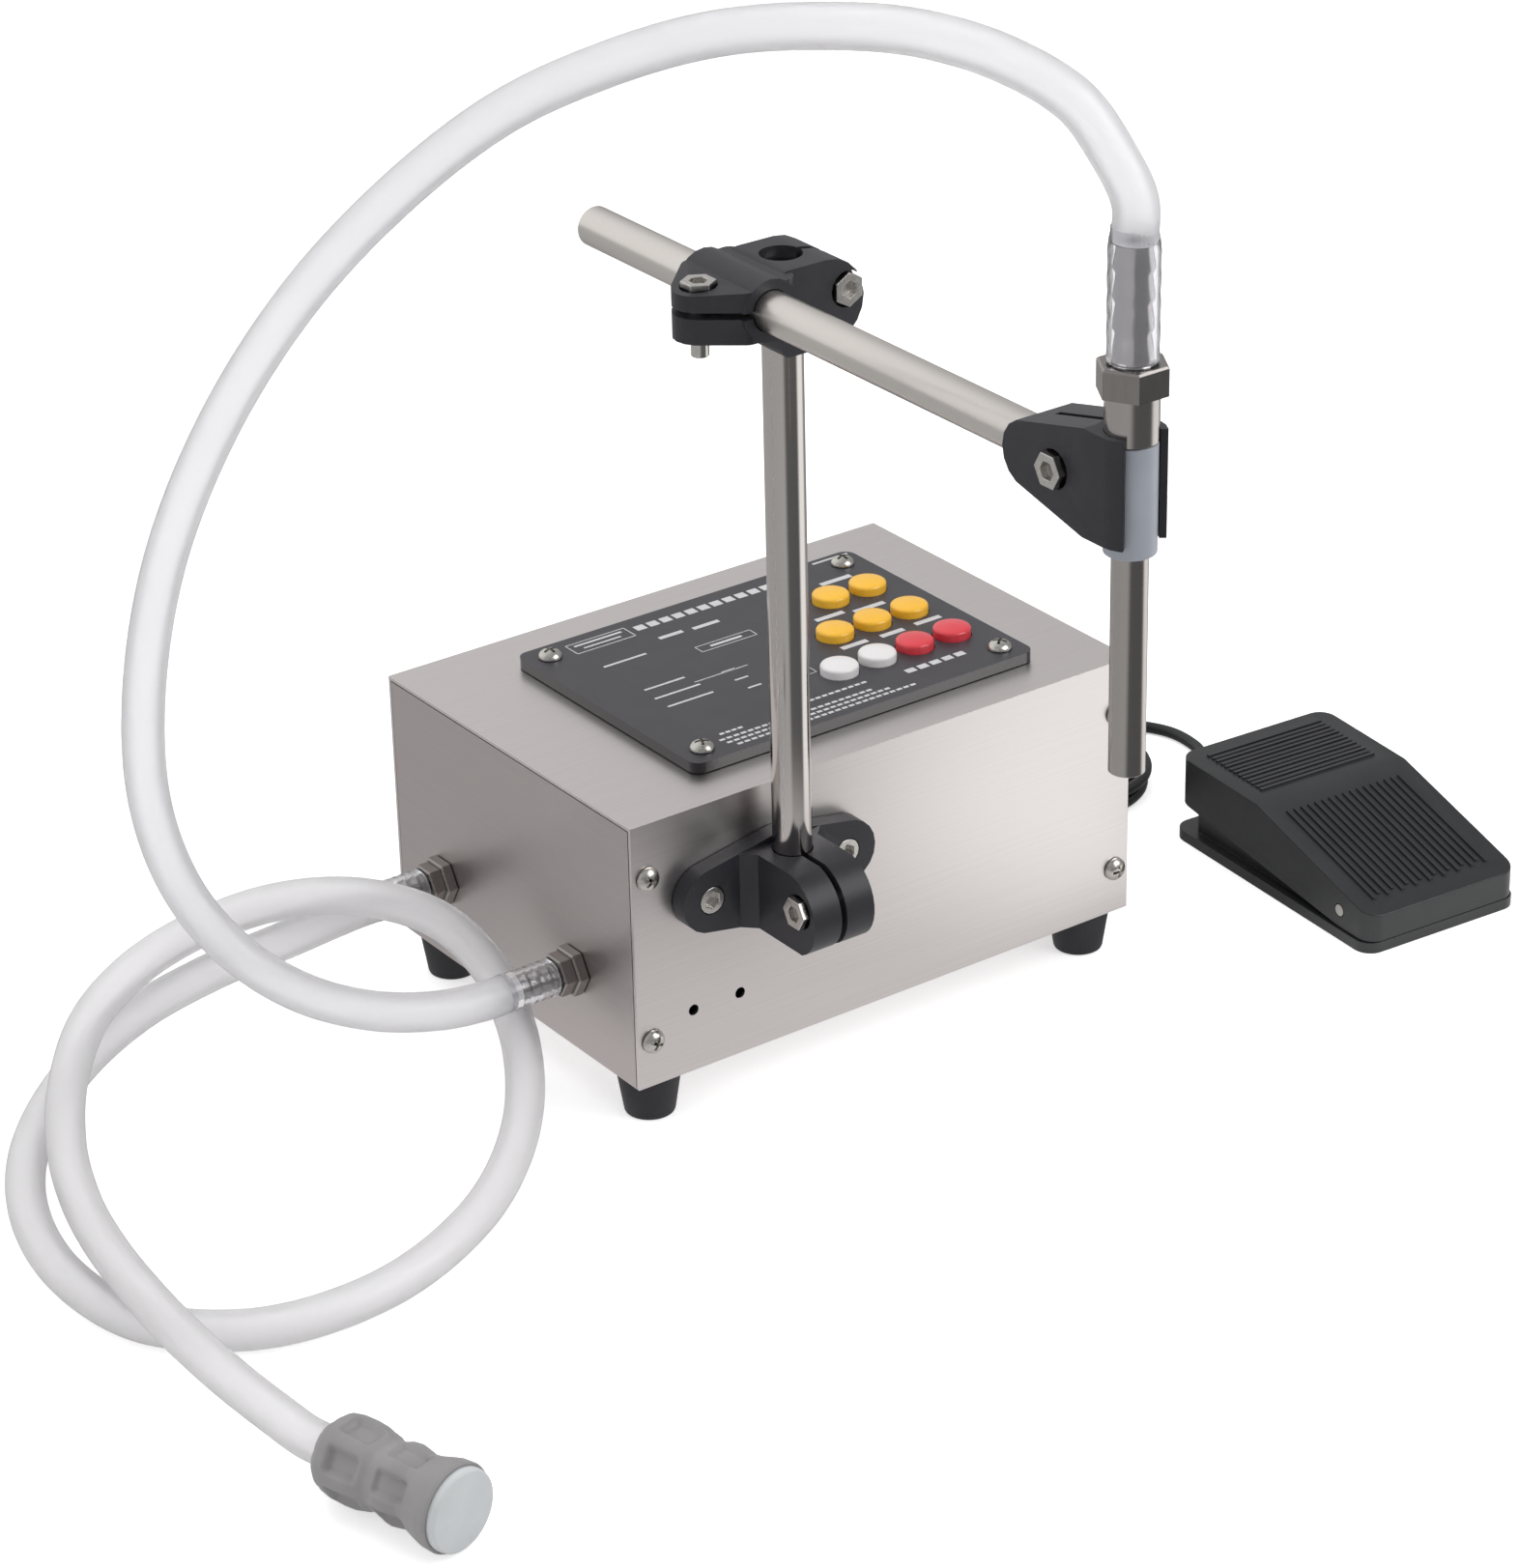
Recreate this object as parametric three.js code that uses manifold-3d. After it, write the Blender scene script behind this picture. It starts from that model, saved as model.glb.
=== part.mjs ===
// Bench liquid filling machine: a steel case with a keypad plate, a post and arm that carry a filling nozzle,
// a suction hose with a strainer, an outlet hose and a foot pedal. Millimetres, +Z up, the bench is z = 0.
import * as THREE from 'three';
import { mergeVertices } from 'three/addons/utils/BufferGeometryUtils.js';
import Module from 'manifold-3d';

const wasm = await Module();
wasm.setup();

// Clearances and tool values
const FIT = 0.3;
const OVERRUN = 1;
const MERGE = 1e-4;
const ROUND_SEGMENTS = 20;
const SMALL_SEGMENTS = 16;
const TINY_SEGMENTS = 12;
const CORNER_SEGMENTS = 4;
const HEX_SIDES = 6;

// Case: a bent chassis (base and both ends) under a bent cover (front, top and back)
const CASE_WIDTH = 190;
const CASE_DEPTH = 133;
const CASE_HEIGHT = 88.5;
const SHEET = 1.2;
const LIP = 11;
const COVER_SCREW_INSET = 5.5;
const COVER_SCREW_LOW = 15.5;
const COVER_SCREW_TOP = 18;
const SPARE_HOLE_RADIUS = 1.8;
const SPARE_HOLE_HEIGHT = 20.8;
const SPARE_HOLE_FIRST = 20.7;
const SPARE_HOLE_SECOND = 37.9;

// Rubber feet
const FOOT_HEIGHT = 15;
const FOOT_TOP_RADIUS = 10.1;
const FOOT_BOTTOM_RADIUS = 7.8;
const FOOT_DIMPLE_RADIUS = 4;
const FOOT_DIMPLE_DEPTH = 7;
const FOOT_INSET = 11;

// Pan-head screws of the cover and the keypad plate
const PAN_RADIUS = 3.85;
const PAN_HEIGHT = 2.6;
const PAN_SHANK_RADIUS = 2;
const PAN_SHANK_LENGTH = 8;
const PAN_CROSS_WIDTH = 1.1;
const PAN_CROSS_DEPTH = 1.4;
const PAN_CROSS_SPAN_SHARE = 0.62;
const PAN_CROWN_SHARES = [[1, 0], [1, 0.4], [0.62, 0.94], [0, 1]];

// Keypad plate and its push buttons
const PLATE_DEPTH = 98;
const PLATE_THICKNESS = 3.5;
const PLATE_CORNER = 4;
const PLATE_LEFT = 35;
const PLATE_RIGHT = 25;
const PLATE_FRONT = 16;
const PLATE_SCREW_INSET = 8;
const WINDOW_SIDE_MARGIN = 5;
const WINDOW_END_MARGIN = 16;
const BUTTON_COLUMNS = 4;
const BUTTON_PITCH_X = 14.7;
const BUTTON_PITCH_Y = 22;
const BUTTON_LAST_X = 13.4;
const BUTTON_FIRST_Y = 25.4;
const BUTTON_RADIUS = 6.1;
const BUTTON_HEIGHT = 8;
const BUTTON_PROUD = 3.6;
const BUTTON_BEVEL = 1;
const BUTTON_DOME = 0.5;
const BUTTON_TRAVEL = 0.5;
const BUTTON_BORE_RADIUS = 2.4;
const BUTTON_BORE_DEPTH = 4;
const SWITCH_SIDE = 12;
const SWITCH_HEIGHT = 3.5;
const BOARD_THICKNESS = 1.6;
const BOARD_MARGIN = 12;
const BOARD_POST_RADIUS = 2.5;
const BOARD_POST_INSET = 8;

// Pump, motor, shaft coupling and power supply inside the case
const SPACES_IN_ALL = 7;
const SPACES_BEFORE_PUMP = 5;
const PUMP_X = 10;
const PUMP_LENGTH = 34;
const PUMP_WIDTH = 46;
const PUMP_HEIGHT = 58;
const PUMP_CORNER = 6;
const PUMP_BOSS_RADIUS = 13;
const PUMP_BOSS_LENGTH = 5;
const SHAFT_HEIGHT = 32;
const SHAFT_RADIUS = 3;
const SHAFT_SEAT = 8;
const COUPLING_RADIUS = 9;
const COUPLING_LENGTH = 16;
const COUPLING_GAP = 2;
const MOTOR_RADIUS = 22;
const MOTOR_LENGTH = 62;
const MOTOR_FOOT_WIDTH = 34;
const MOTOR_CAP_RADIUS = 17;
const MOTOR_CAP_LENGTH = 4;
const SUPPLY_LENGTH = 84;
const SUPPLY_WIDTH = 28;
const SUPPLY_HEIGHT = 40;
const SUPPLY_X = 30;
const SUPPLY_CORNER = 2;

// Hose fittings on the left end
const FITTING_HEIGHT = 28;
const OUTLET_FITTING_Y = 32.6;
const SUCTION_FITTING_BACK = 27.2;
const FITTING_NUT_FLATS = 14;
const FITTING_NUT_LENGTH = 3.4;
const FITTING_HEX_FLATS = 12;
const FITTING_HEX_LENGTH = 4.2;
const FITTING_LENGTH = 22;
const BARB_RADIUS = 4.1;
const BARB_ROOT_RADIUS = 3.5;
const BARB_COUNT = 4;
const FITTING_BORE_RADIUS = 1.9;
const FITTING_THREAD_RADIUS = 4.5;
const FITTING_THREAD_LENGTH = 7;

// Mains inlet with its rocker switch, and the pedal cable's gland, on the back
const INLET_RIGHT = 72;
const INLET_Z = 34;
const INLET_WIDTH = 58;
const INLET_HEIGHT = 28;
const INLET_CORNER = 4;
const INLET_FLANGE = 2.5;
const INLET_DEPTH = 24;
const SOCKET_WIDTH = 24.5;
const SOCKET_HEIGHT = 17;
const SOCKET_DEPTH = 15;
const SOCKET_X = 11;
const SOCKET_CORNER = 4;
const PIN_LENGTH = 9;
const PIN_WIDTH = 2;
const PIN_HEIGHT = 4;
const PIN_PITCH = 7;
const PIN_DROP = 2;
const ROCKER_X = -16.5;
const ROCKER_WIDTH = 13;
const ROCKER_HALF_LENGTH = 9;
const ROCKER_RISE = 5;
const ROCKER_DIP = 3;
const ROCKER_KEEL = 3;
const ROCKER_POCKET_HALF = 10.2;
const ROCKER_POCKET_DEPTH = 8;
const ROCKER_PIVOT_DEPTH = 1;
const ROCKER_TILT_DEG = 8;
const GLAND_RIGHT = 24;
const GLAND_Z = 22;
const GLAND_RADIUS = 5.5;
const GLAND_LENGTH = 9;
const GLAND_TIP_RADIUS = 3.4;
const GLAND_STEM_RADIUS = 3.6;
const GLAND_STEM_LENGTH = 6;

// Post, arm and the clamp bolts
const ROD_RADIUS = 6;
const ROD_CHAMFER = 0.8;
const POST_X = 49.5;
const POST_OUT = 12.5;
const CLAMP_HEIGHT = 59.5;
const ARM_HEIGHT = 251;
const POST_RECESS = 3.5;
const POST_BOTTOM_INSET = 1.5;
const BOLT_RADIUS = 2.6;
const BOLT_HEAD_FLATS = 9;
const BOLT_HEAD_HEIGHT = 4;
const BOLT_SOCKET_FLATS = 4.6;
const BOLT_SOCKET_DEPTH = 2.2;
const SLIT = 2;

// Base clamp: an oval flange with a split boss
const FLANGE_PITCH = 50;
const FLANGE_LOBE_RADIUS = 10.5;
const FLANGE_MIDDLE_RADIUS = 15;
const FLANGE_THICKNESS = 5.8;
const FLANGE_SCREW_RADIUS = 2.5;
const FLANGE_HEAD_RADIUS = 4.3;
const FLANGE_HEAD_HEIGHT = 4;
const FLANGE_RECESS = 4.2;
const FLANGE_SCREW_LENGTH = 12;
const BOSS_HALF_WIDTH = 11;
const BOSS_HALF_HEIGHT = 12.4;
const BOSS_NOSE_TOP = 15;
const BOSS_NOSE_PULL = 28.5;
const BOSS_NOSE_BOTTOM = 19;
const BOSS_FLARE = 4;
const BOSS_BOLT_OUT = 18;
const BOSS_BOLT_UP = 1.8;
const BOSS_BOLT_RECESS = 2;

// Cross clamp: two split bores at right angles
const CROSS_OFFSET = 15.5;
const CROSS_TOP = 8.5;
const CROSS_BOTTOM = 17.4;
const CROSS_TOP_FALL = 2.8;
const CROSS_EAR_BOTTOM = 8.5;
const CROSS_BOLT_REACH = 13.8;
const CROSS_EAR_RADIUS = 7.8;
const CROSS_EAR_SHIFT = 1.4;
const CROSS_BORE_WALL = 3.3;
const CROSS_ARM_FRONT = 16.5;
const CROSS_ARM_BACK = 15.5;
const CROSS_CORNER = 3;
const CROSS_POST_HALF_DEPTH = 12.5;
const CROSS_CHEEK_RADIUS = 12.9;
const CROSS_CHEEK_X = 6.6;
const CROSS_SIDE_BOLT_Z = -1.8;
const CROSS_HEAD_RECESS = 3.2;
const CROSS_BOLT_TAIL = 6;
const BOLT_TAIL = 1;

// Arm and the end clamp that holds the nozzle
const NOZZLE_REACH = 171.2;
const ARM_BACK = 71;
const HEAD_HALF_WIDTH = 9.3;
const HEAD_HALF_HEIGHT = 15;
const HEAD_CORNER = 3;
const HEAD_ARM_Y = 31.4;
const HEAD_ARM_SEAT = 25.5;
const HEAD_BOLT_Y = 19.7;
const HEAD_BOLT_RECESS = 2;
const HEAD_MOUTH_DEG = 103;
const HEAD_SHOULDER_Y = 8;

// Filling nozzle
const SLEEVE_RADIUS = 7;
const SLEEVE_TOP = 12;
const SLEEVE_BOTTOM = 18.5;
const PIPE_RADIUS = 4.9;
const PIPE_BORE_RADIUS = 3.9;
const PIPE_BOTTOM = 81;
const SKIRT_RADIUS = 7.15;
const SKIRT_TOP = 25;
const NOZZLE_HEX_FLATS = 17;
const NOZZLE_HEX_HEIGHT = 8;
const NOZZLE_BARB_HEIGHT = 32;
const NOZZLE_BARB_RADIUS = 5.4;
const NOZZLE_BARB_ROOT_RADIUS = 4.7;
const NOZZLE_BARB_BORE_RADIUS = 1.9;

// Foot pedal
const PEDAL_LEFT = 246.1;
const PEDAL_FRONT = -52.7;
const PEDAL_TURN_DEG = -3.7;
const PEDAL_WIDTH = 63;
const PEDAL_LENGTH = 104;
const PEDAL_CORNER = 6;
const PEDAL_BASE = 3.8;
const TREADLE_INSET = 0.8;
const TREADLE_WALL = 2.2;
const TREADLE_LENGTH = 102.5;
const TREADLE_BACK = 30.5;
const TREADLE_KNEE_Y = 60;
const TREADLE_KNEE = 29.5;
const TREADLE_FRONT = 13.4;
const TREADLE_SKIRT_BACK = 14;
const TREADLE_NOTCH_WIDTH = 11;
const TREADLE_NOTCH_TOP = 20;
const RIB_HEIGHT = 0.7;
const RIB_WIDTH = 1.3;
const CROSS_RIB_COUNT = 7;
const LONG_RIB_COUNT = 9;
const RIB_FIELD_INSET = 7;
const HINGE_Y = 15.5;
const HINGE_Z = 10;
const HINGE_RADIUS = 2;
const TUB_GAP = 0.8;
const TUB_WALL = 2;
const TUB_FRONT_Y = 5;
const TUB_BACK_Y = 94.8;
const TUB_FRONT = 10;
const TUB_BACK = 17;
const TUB_BOSS_RADIUS = 3.2;
const PEDAL_SWITCH_LENGTH = 20;
const PEDAL_SWITCH_WIDTH = 8;
const PEDAL_SWITCH_HEIGHT = 16;
const PEDAL_SWITCH_Y = 46;
const PLUNGER_RADIUS = 1.5;
const PLUNGER_HEIGHT = 2.6;
const SPRING_Y = 80;
const SPRING_RADIUS = 5;
const SPRING_WIRE = 0.6;
const SPRING_COILS = 6;
const SPRING_STEPS_A_COIL = 8;
const SPRING_SIDES = 5;
const RELIEF_Z = 9;
const RELIEF_RADIUS = 3.6;
const RELIEF_TIP_RADIUS = 2.6;
const RELIEF_LENGTH = 12;
const RELIEF_COLLAR_RADIUS = 4.6;
const RELIEF_COLLAR_LENGTH = 1.6;

// Strainer on the suction hose
const STRAINER_LENGTH = 47;
const STRAINER_DISC_RADIUS = 13;
const STRAINER_PROFILE_SHARES = [
  [0, 0], [0.46, 0], [0.78, 0.04], [0.88, 0.13], [0.88, 0.3], [0.8, 0.4], [0.84, 0.5], [0.86, 0.58],
  [0.8, 0.66], [0.9, 0.76], [1, 0.86], [1, 1], [0, 1],
];
const STRAINER_LOBE_COUNT = 6;
const STRAINER_LOBE_SHARE = 0.05;
const STRAINER_LOBED_SHARE = 0.7;
const STRAINER_X = -170;
const STRAINER_Y = -102;
const STRAINER_TURN_DEG = 14.9;

// Hoses and the pedal cable
const HOSE_RADIUS = 6;
const HOSE_SIDES = 10;
const OUTLET_STEPS = 30;
const SUCTION_STEPS = 38;
const CABLE_RADIUS = 2;
const CABLE_SIDES = 8;
const PEDAL_LEAD_STEPS = 12;
const CASE_LEAD_STEPS = 20;
const COIL_X = 248;
const COIL_Y = 102.5;
const COIL_RADIUS = 29.6;
const COIL_PITCH = 4.6;
const COIL_LAYERS = 2;
const COIL_TURNS_A_LAYER = 3;
const COIL_STEPS_A_LOOP = 24;
const COIL_SIDES = 6;
const CABLE_LIFT = 0.1;
const MEASURES_A_STEP = 4;
const NEIGHBOUR_RADII = 6;

// The middle of each route, in machine coordinates; the ends come from the pieces that they meet
const OUTLET_ROUTE = [
  [30.5, -178.5, 354], [25, -171, 366], [15, -156, 375], [3.5, -136, 379], [-8.5, -111, 377],
  [-20, -82, 370], [-33, -52, 357], [-49, -25, 340], [-69, -3, 316], [-91, 12.5, 288],
  [-113, 21, 255.5], [-131, 24.5, 219.5], [-140.5, 26, 181.5], [-141, 27.5, 146], [-132, 29, 114.5],
  [-115, 30.5, 87.5], [-94, 31.5, 67], [-70, 32.6, 52.5], [-48, 32.8, 45],
];
const SUCTION_ROUTE = [
  [-55.5, 109.5, 38.7], [-80, 116, 32.3], [-104, 119, 25.2], [-130, 113, 17], [-155.7, 93.5, 10.8],
  [-173.9, 62.6, 8.5], [-181.1, 25.8, 7], [-174.3, -8, 6.2], [-149.7, -31.2, 6.8], [-113.5, -36.8, 8.3],
  [-75.8, -24.4, 10.3], [-47.2, -3.3, 13.5], [-29, 18, 20], [-19, 38.5, 29.3], [-16.6, 57.1, 40.1],
  [-22.3, 75.3, 49.4], [-36.9, 93.2, 54], [-56.3, 108.7, 52.8], [-79.2, 117.7, 47.8], [-102.2, 119.2, 41.2],
  [-123.6, 112.3, 33.3], [-141.1, 95.7, 24.8], [-154.7, 73, 18.6], [-164.9, 46, 16.6], [-172.1, 17.7, 17.7],
  [-176.5, -9.9, 19], [-178.2, -35.4, 18.6], [-177.2, -59.9, 16.6], [-174.3, -82.5, 14.3],
];
const PEDAL_LEAD_ROUTE = [
  [287.5, 66, 6], [293.5, 80, 2.8], [299.5, 94, 2.1], [299.5, 108, 2.1], [292, 120.5, 2.1], [278.5, 129, 2.1],
];
const CASE_LEAD_ROUTE = [
  [233, 133, 4.6], [220, 137.5, 2.5], [206, 145, 2.1], [192.5, 154, 4], [181, 161.5, 11], [172.5, 163, 22],
  [168, 156.5, 33],
];

function closed(geometry) {
  const bare = geometry.clone();
  bare.deleteAttribute('normal');
  bare.deleteAttribute('uv');
  const merged = mergeVertices(bare, MERGE);
  const old = merged.index.array;
  const kept = [];
  for (let i = 0; i < old.length; i += 3) {
    const corners = [old[i], old[i + 1], old[i + 2]];
    if (new Set(corners).size === corners.length) kept.push(...corners);
  }
  merged.setIndex(kept);
  return merged;
}

function solidOf(geometry) {
  const vertProperties = new Float32Array(geometry.attributes.position.array);
  const triVerts = new Uint32Array(geometry.index.array);
  return new wasm.Manifold(new wasm.Mesh({ numProp: 3, vertProperties, triVerts }));
}

function geometryOf(solid) {
  const mesh = solid.getMesh();
  const geometry = new THREE.BufferGeometry();
  geometry.setAttribute('position', new THREE.BufferAttribute(mesh.vertProperties, 3));
  geometry.setIndex(new THREE.BufferAttribute(mesh.triVerts, 1));
  return geometry;
}

function join(...parts) {
  return geometryOf(parts.map(solidOf).reduce((whole, part) => whole.add(part)));
}

function cut(base, ...tools) {
  return geometryOf(tools.map(solidOf).reduce((rest, tool) => rest.subtract(tool), solidOf(base)));
}

function moved(geometry, x, y, z) {
  return geometry.clone().translate(x, y, z);
}

function box(x0, x1, y0, y1, z0, z1) {
  const geometry = closed(new THREE.BoxGeometry(x1 - x0, y1 - y0, z1 - z0));
  return geometry.translate((x0 + x1) / 2, (y0 + y1) / 2, (z0 + z1) / 2);
}

// A flat outline raised from z0 to z1
function raised(shape, z0, z1, curveSegments = CORNER_SEGMENTS) {
  const options = { depth: z1 - z0, bevelEnabled: false, curveSegments };
  return closed(new THREE.ExtrudeGeometry(shape, options)).translate(0, 0, z0);
}

function rod(radius, z0, z1, segments = ROUND_SEGMENTS) {
  const geometry = closed(new THREE.CylinderGeometry(radius, radius, z1 - z0, segments));
  return geometry.rotateX(Math.PI / 2).translate(0, 0, (z0 + z1) / 2);
}

// A profile of [radius, height] points, from bottom to top, turned about Z
function turned(profile, segments = ROUND_SEGMENTS) {
  const points = profile.map(([radius, height]) => new THREE.Vector2(radius, height));
  return closed(new THREE.LatheGeometry(points, segments)).rotateX(Math.PI / 2);
}

function hexagon(flats, z0, z1) {
  return rod(flats / Math.sqrt(3), z0, z1, HEX_SIDES);
}

// Points a body that was made along +Z along another axis
function facing(axis, geometry) {
  const quarter = Math.PI / 2;
  const turns = {
    '+x': (g) => g.rotateY(quarter),
    '-x': (g) => g.rotateY(-quarter),
    '+y': (g) => g.rotateX(-quarter),
    '-y': (g) => g.rotateX(quarter),
    '-z': (g) => g.rotateX(Math.PI),
  };
  return turns[axis](geometry.clone());
}

function roundedRectangle(x0, x1, y0, y1, radius) {
  const shape = new THREE.Shape();
  const quarter = Math.PI / 2;
  shape.absarc(x1 - radius, y0 + radius, radius, -quarter, 0);
  shape.absarc(x1 - radius, y1 - radius, radius, 0, quarter);
  shape.absarc(x0 + radius, y1 - radius, radius, quarter, Math.PI);
  shape.absarc(x0 + radius, y0 + radius, radius, Math.PI, Math.PI + quarter);
  return shape;
}

// The tight outline round several circles, each [x, y, radius]
function hullOf(circles, segments = ROUND_SEGMENTS) {
  const points = circles.flatMap(([x, y, radius]) => Array.from({ length: segments }, (_, i) => {
    const angle = (2 * Math.PI * i) / segments;
    return [x + radius * Math.cos(angle), y + radius * Math.sin(angle)];
  }));
  points.sort((a, b) => a[0] - b[0] || a[1] - b[1]);
  const turnsLeft = (a, b, c) => (b[0] - a[0]) * (c[1] - a[1]) - (b[1] - a[1]) * (c[0] - a[0]) > MERGE;
  const chain = (list) => {
    const kept = [];
    for (const point of list) {
      while (kept.length > 1 && !turnsLeft(kept.at(-2), kept.at(-1), point)) kept.pop();
      kept.push(point);
    }
    return kept.slice(0, -1);
  };
  const outline = [...chain(points), ...chain(points.reverse())];
  return new THREE.Shape(outline.map(([x, y]) => new THREE.Vector2(x, y)));
}

function polygon(points) {
  return new THREE.Shape(points.map(([x, y]) => new THREE.Vector2(x, y)));
}

// A side view of [y, z] points made as wide as x0 to x1
function acrossX(shape, x0, x1, curveSegments = CORNER_SEGMENTS) {
  const geometry = raised(shape, x0, x1, curveSegments);
  return geometry.rotateY(Math.PI / 2).rotateX(Math.PI / 2);
}

// A front view of [x, z] points made as deep as y0 to y1
function acrossY(shape, y0, y1, curveSegments = CORNER_SEGMENTS) {
  return raised(shape, -y1, -y0, curveSegments).rotateX(Math.PI / 2);
}

function paint(color, roughness, metalness) {
  return new THREE.MeshStandardMaterial({ color, roughness, metalness, flatShading: true });
}

const brushedSteel = paint(0xc9c3bd, 0.38, 0.9);
const polishedSteel = paint(0xd6d3cf, 0.2, 1);
const nylon = paint(0x27262a, 0.55, 0);
const rubber = paint(0x161616, 0.85, 0);
const blackPlastic = paint(0x1b1d1c, 0.6, 0);
const plateFilm = paint(0x56545a, 0.45, 0);
const yellowPlastic = paint(0xf2b32a, 0.4, 0);
const whitePlastic = paint(0xf2f1f0, 0.4, 0);
const redPlastic = paint(0xe0484f, 0.4, 0);
const sleevePlastic = paint(0xa9aeb8, 0.45, 0);
const hosePlastic = paint(0xe3e2e4, 0.35, 0);
const strainerPlastic = paint(0x8e8c8b, 0.5, 0);
const boardPlastic = paint(0x2f6b46, 0.6, 0);
const castAluminium = paint(0xa6a7a9, 0.5, 0.8);

function piece(parent, name, geometry, material) {
  const mesh = new THREE.Mesh(geometry, material);
  mesh.name = name;
  parent.add(mesh);
  return mesh;
}

function groupAt(parent, x, y, z) {
  const group = new THREE.Group();
  group.position.set(x, y, z);
  parent.add(group);
  return group;
}

// Fasteners, each with its head's seat at z = 0 and its shank below
function panScrew(shankLength) {
  const crown = PAN_CROWN_SHARES.map(([r, h]) => [r * PAN_RADIUS, h * PAN_HEIGHT]);
  const body = turned([[0, -shankLength], [PAN_SHANK_RADIUS, -shankLength], [PAN_SHANK_RADIUS, 0], ...crown],
    TINY_SEGMENTS);
  const reach = PAN_RADIUS * PAN_CROSS_SPAN_SHARE;
  const low = PAN_HEIGHT - PAN_CROSS_DEPTH;
  const slot = box(-reach, reach, -PAN_CROSS_WIDTH / 2, PAN_CROSS_WIDTH / 2, low, PAN_HEIGHT + OVERRUN);
  return cut(body, slot, slot.clone().rotateZ(Math.PI / 2));
}

function socketScrew(headRadius, headHeight, shankRadius, shankLength) {
  const body = turned([
    [0, -shankLength], [shankRadius, -shankLength], [shankRadius, 0], [headRadius, 0],
    [headRadius, headHeight], [0, headHeight],
  ], SMALL_SEGMENTS);
  return cut(body, hexagon(BOLT_SOCKET_FLATS, headHeight - BOLT_SOCKET_DEPTH, headHeight + OVERRUN));
}

function hexBolt(shankLength) {
  const shank = rod(BOLT_RADIUS, -shankLength, BOLT_HEAD_HEIGHT / 2, TINY_SEGMENTS);
  const head = join(hexagon(BOLT_HEAD_FLATS, 0, BOLT_HEAD_HEIGHT), shank);
  return cut(head, hexagon(BOLT_SOCKET_FLATS, BOLT_HEAD_HEIGHT - BOLT_SOCKET_DEPTH, BOLT_HEAD_HEIGHT + OVERRUN));
}

// A hose tail with a row of barbs, from its root at z0 up to its tip at z1
function barbProfile(rootRadius, barbRadius, count, z0, z1) {
  const step = (z1 - z0) / count;
  const ridge = (i) => [[barbRadius, z0 + i * step], [rootRadius, z0 + (i + 1) * step]];
  return Array.from({ length: count }, (_, i) => ridge(i)).flat();
}

const machine = new THREE.Group();
const cordNames = [
  'outlet_hose', 'suction_hose', 'strainer', 'pedal_lead', 'cable_coil', 'case_lead', 'pedal_relief',
];
const enclosure = groupAt(machine, 0, 0, FOOT_HEIGHT);

// Places that follow the case: the plate keeps its margins, and what stands inside shares the room that is left
const plateWidth = CASE_WIDTH - PLATE_LEFT - PLATE_RIGHT;
const firstButtonX = CASE_WIDTH - PLATE_RIGHT - BUTTON_LAST_X - (BUTTON_COLUMNS - 1) * BUTTON_PITCH_X;
const coverScrewHigh = CASE_HEIGHT - COVER_SCREW_TOP;
const insideSpace = (CASE_DEPTH - PUMP_WIDTH - SUPPLY_WIDTH - INLET_DEPTH) / SPACES_IN_ALL;
const pumpY = SPACES_BEFORE_PUMP * insideSpace + PUMP_WIDTH / 2;
const supplyY = pumpY + PUMP_WIDTH / 2 + insideSpace;
const suctionFittingY = CASE_DEPTH - SUCTION_FITTING_BACK;
const inletX = CASE_WIDTH - INLET_RIGHT;
const glandX = CASE_WIDTH - GLAND_RIGHT;
const coverScrewPlaces = [
  ['left_low', COVER_SCREW_INSET, COVER_SCREW_LOW],
  ['left_high', COVER_SCREW_INSET, coverScrewHigh],
  ['right_low', CASE_WIDTH - COVER_SCREW_INSET, COVER_SCREW_LOW],
  ['right_high', CASE_WIDTH - COVER_SCREW_INSET, coverScrewHigh],
];
const plateBottom = CASE_HEIGHT + FIT;
const plateTop = plateBottom + PLATE_THICKNESS;
const plateScrewPlaces = [
  ['front_left', PLATE_LEFT + PLATE_SCREW_INSET, PLATE_FRONT + PLATE_SCREW_INSET],
  ['front_right', PLATE_LEFT + plateWidth - PLATE_SCREW_INSET, PLATE_FRONT + PLATE_SCREW_INSET],
  ['back_left', PLATE_LEFT + PLATE_SCREW_INSET, PLATE_FRONT + PLATE_DEPTH - PLATE_SCREW_INSET],
  ['back_right', PLATE_LEFT + plateWidth - PLATE_SCREW_INSET, PLATE_FRONT + PLATE_DEPTH - PLATE_SCREW_INSET],
];
const flangeScrewX = [POST_X - FLANGE_PITCH / 2, POST_X + FLANGE_PITCH / 2];
const buttonRows = [
  ['front', 0, [whitePlastic, whitePlastic, redPlastic, redPlastic]],
  ['middle', 1, [null, yellowPlastic, yellowPlastic, yellowPlastic]],
  ['back', 2, [null, null, yellowPlastic, yellowPlastic]],
];
const buttons = buttonRows.flatMap(([row, rowNumber, colours]) => colours.flatMap((colour, column) => {
  const x = firstButtonX + column * BUTTON_PITCH_X;
  const y = PLATE_FRONT + BUTTON_FIRST_Y + rowNumber * BUTTON_PITCH_Y;
  return colour ? [{ name: `button_${row}_${column + 1}`, x, y, colour }] : [];
}));

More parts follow.
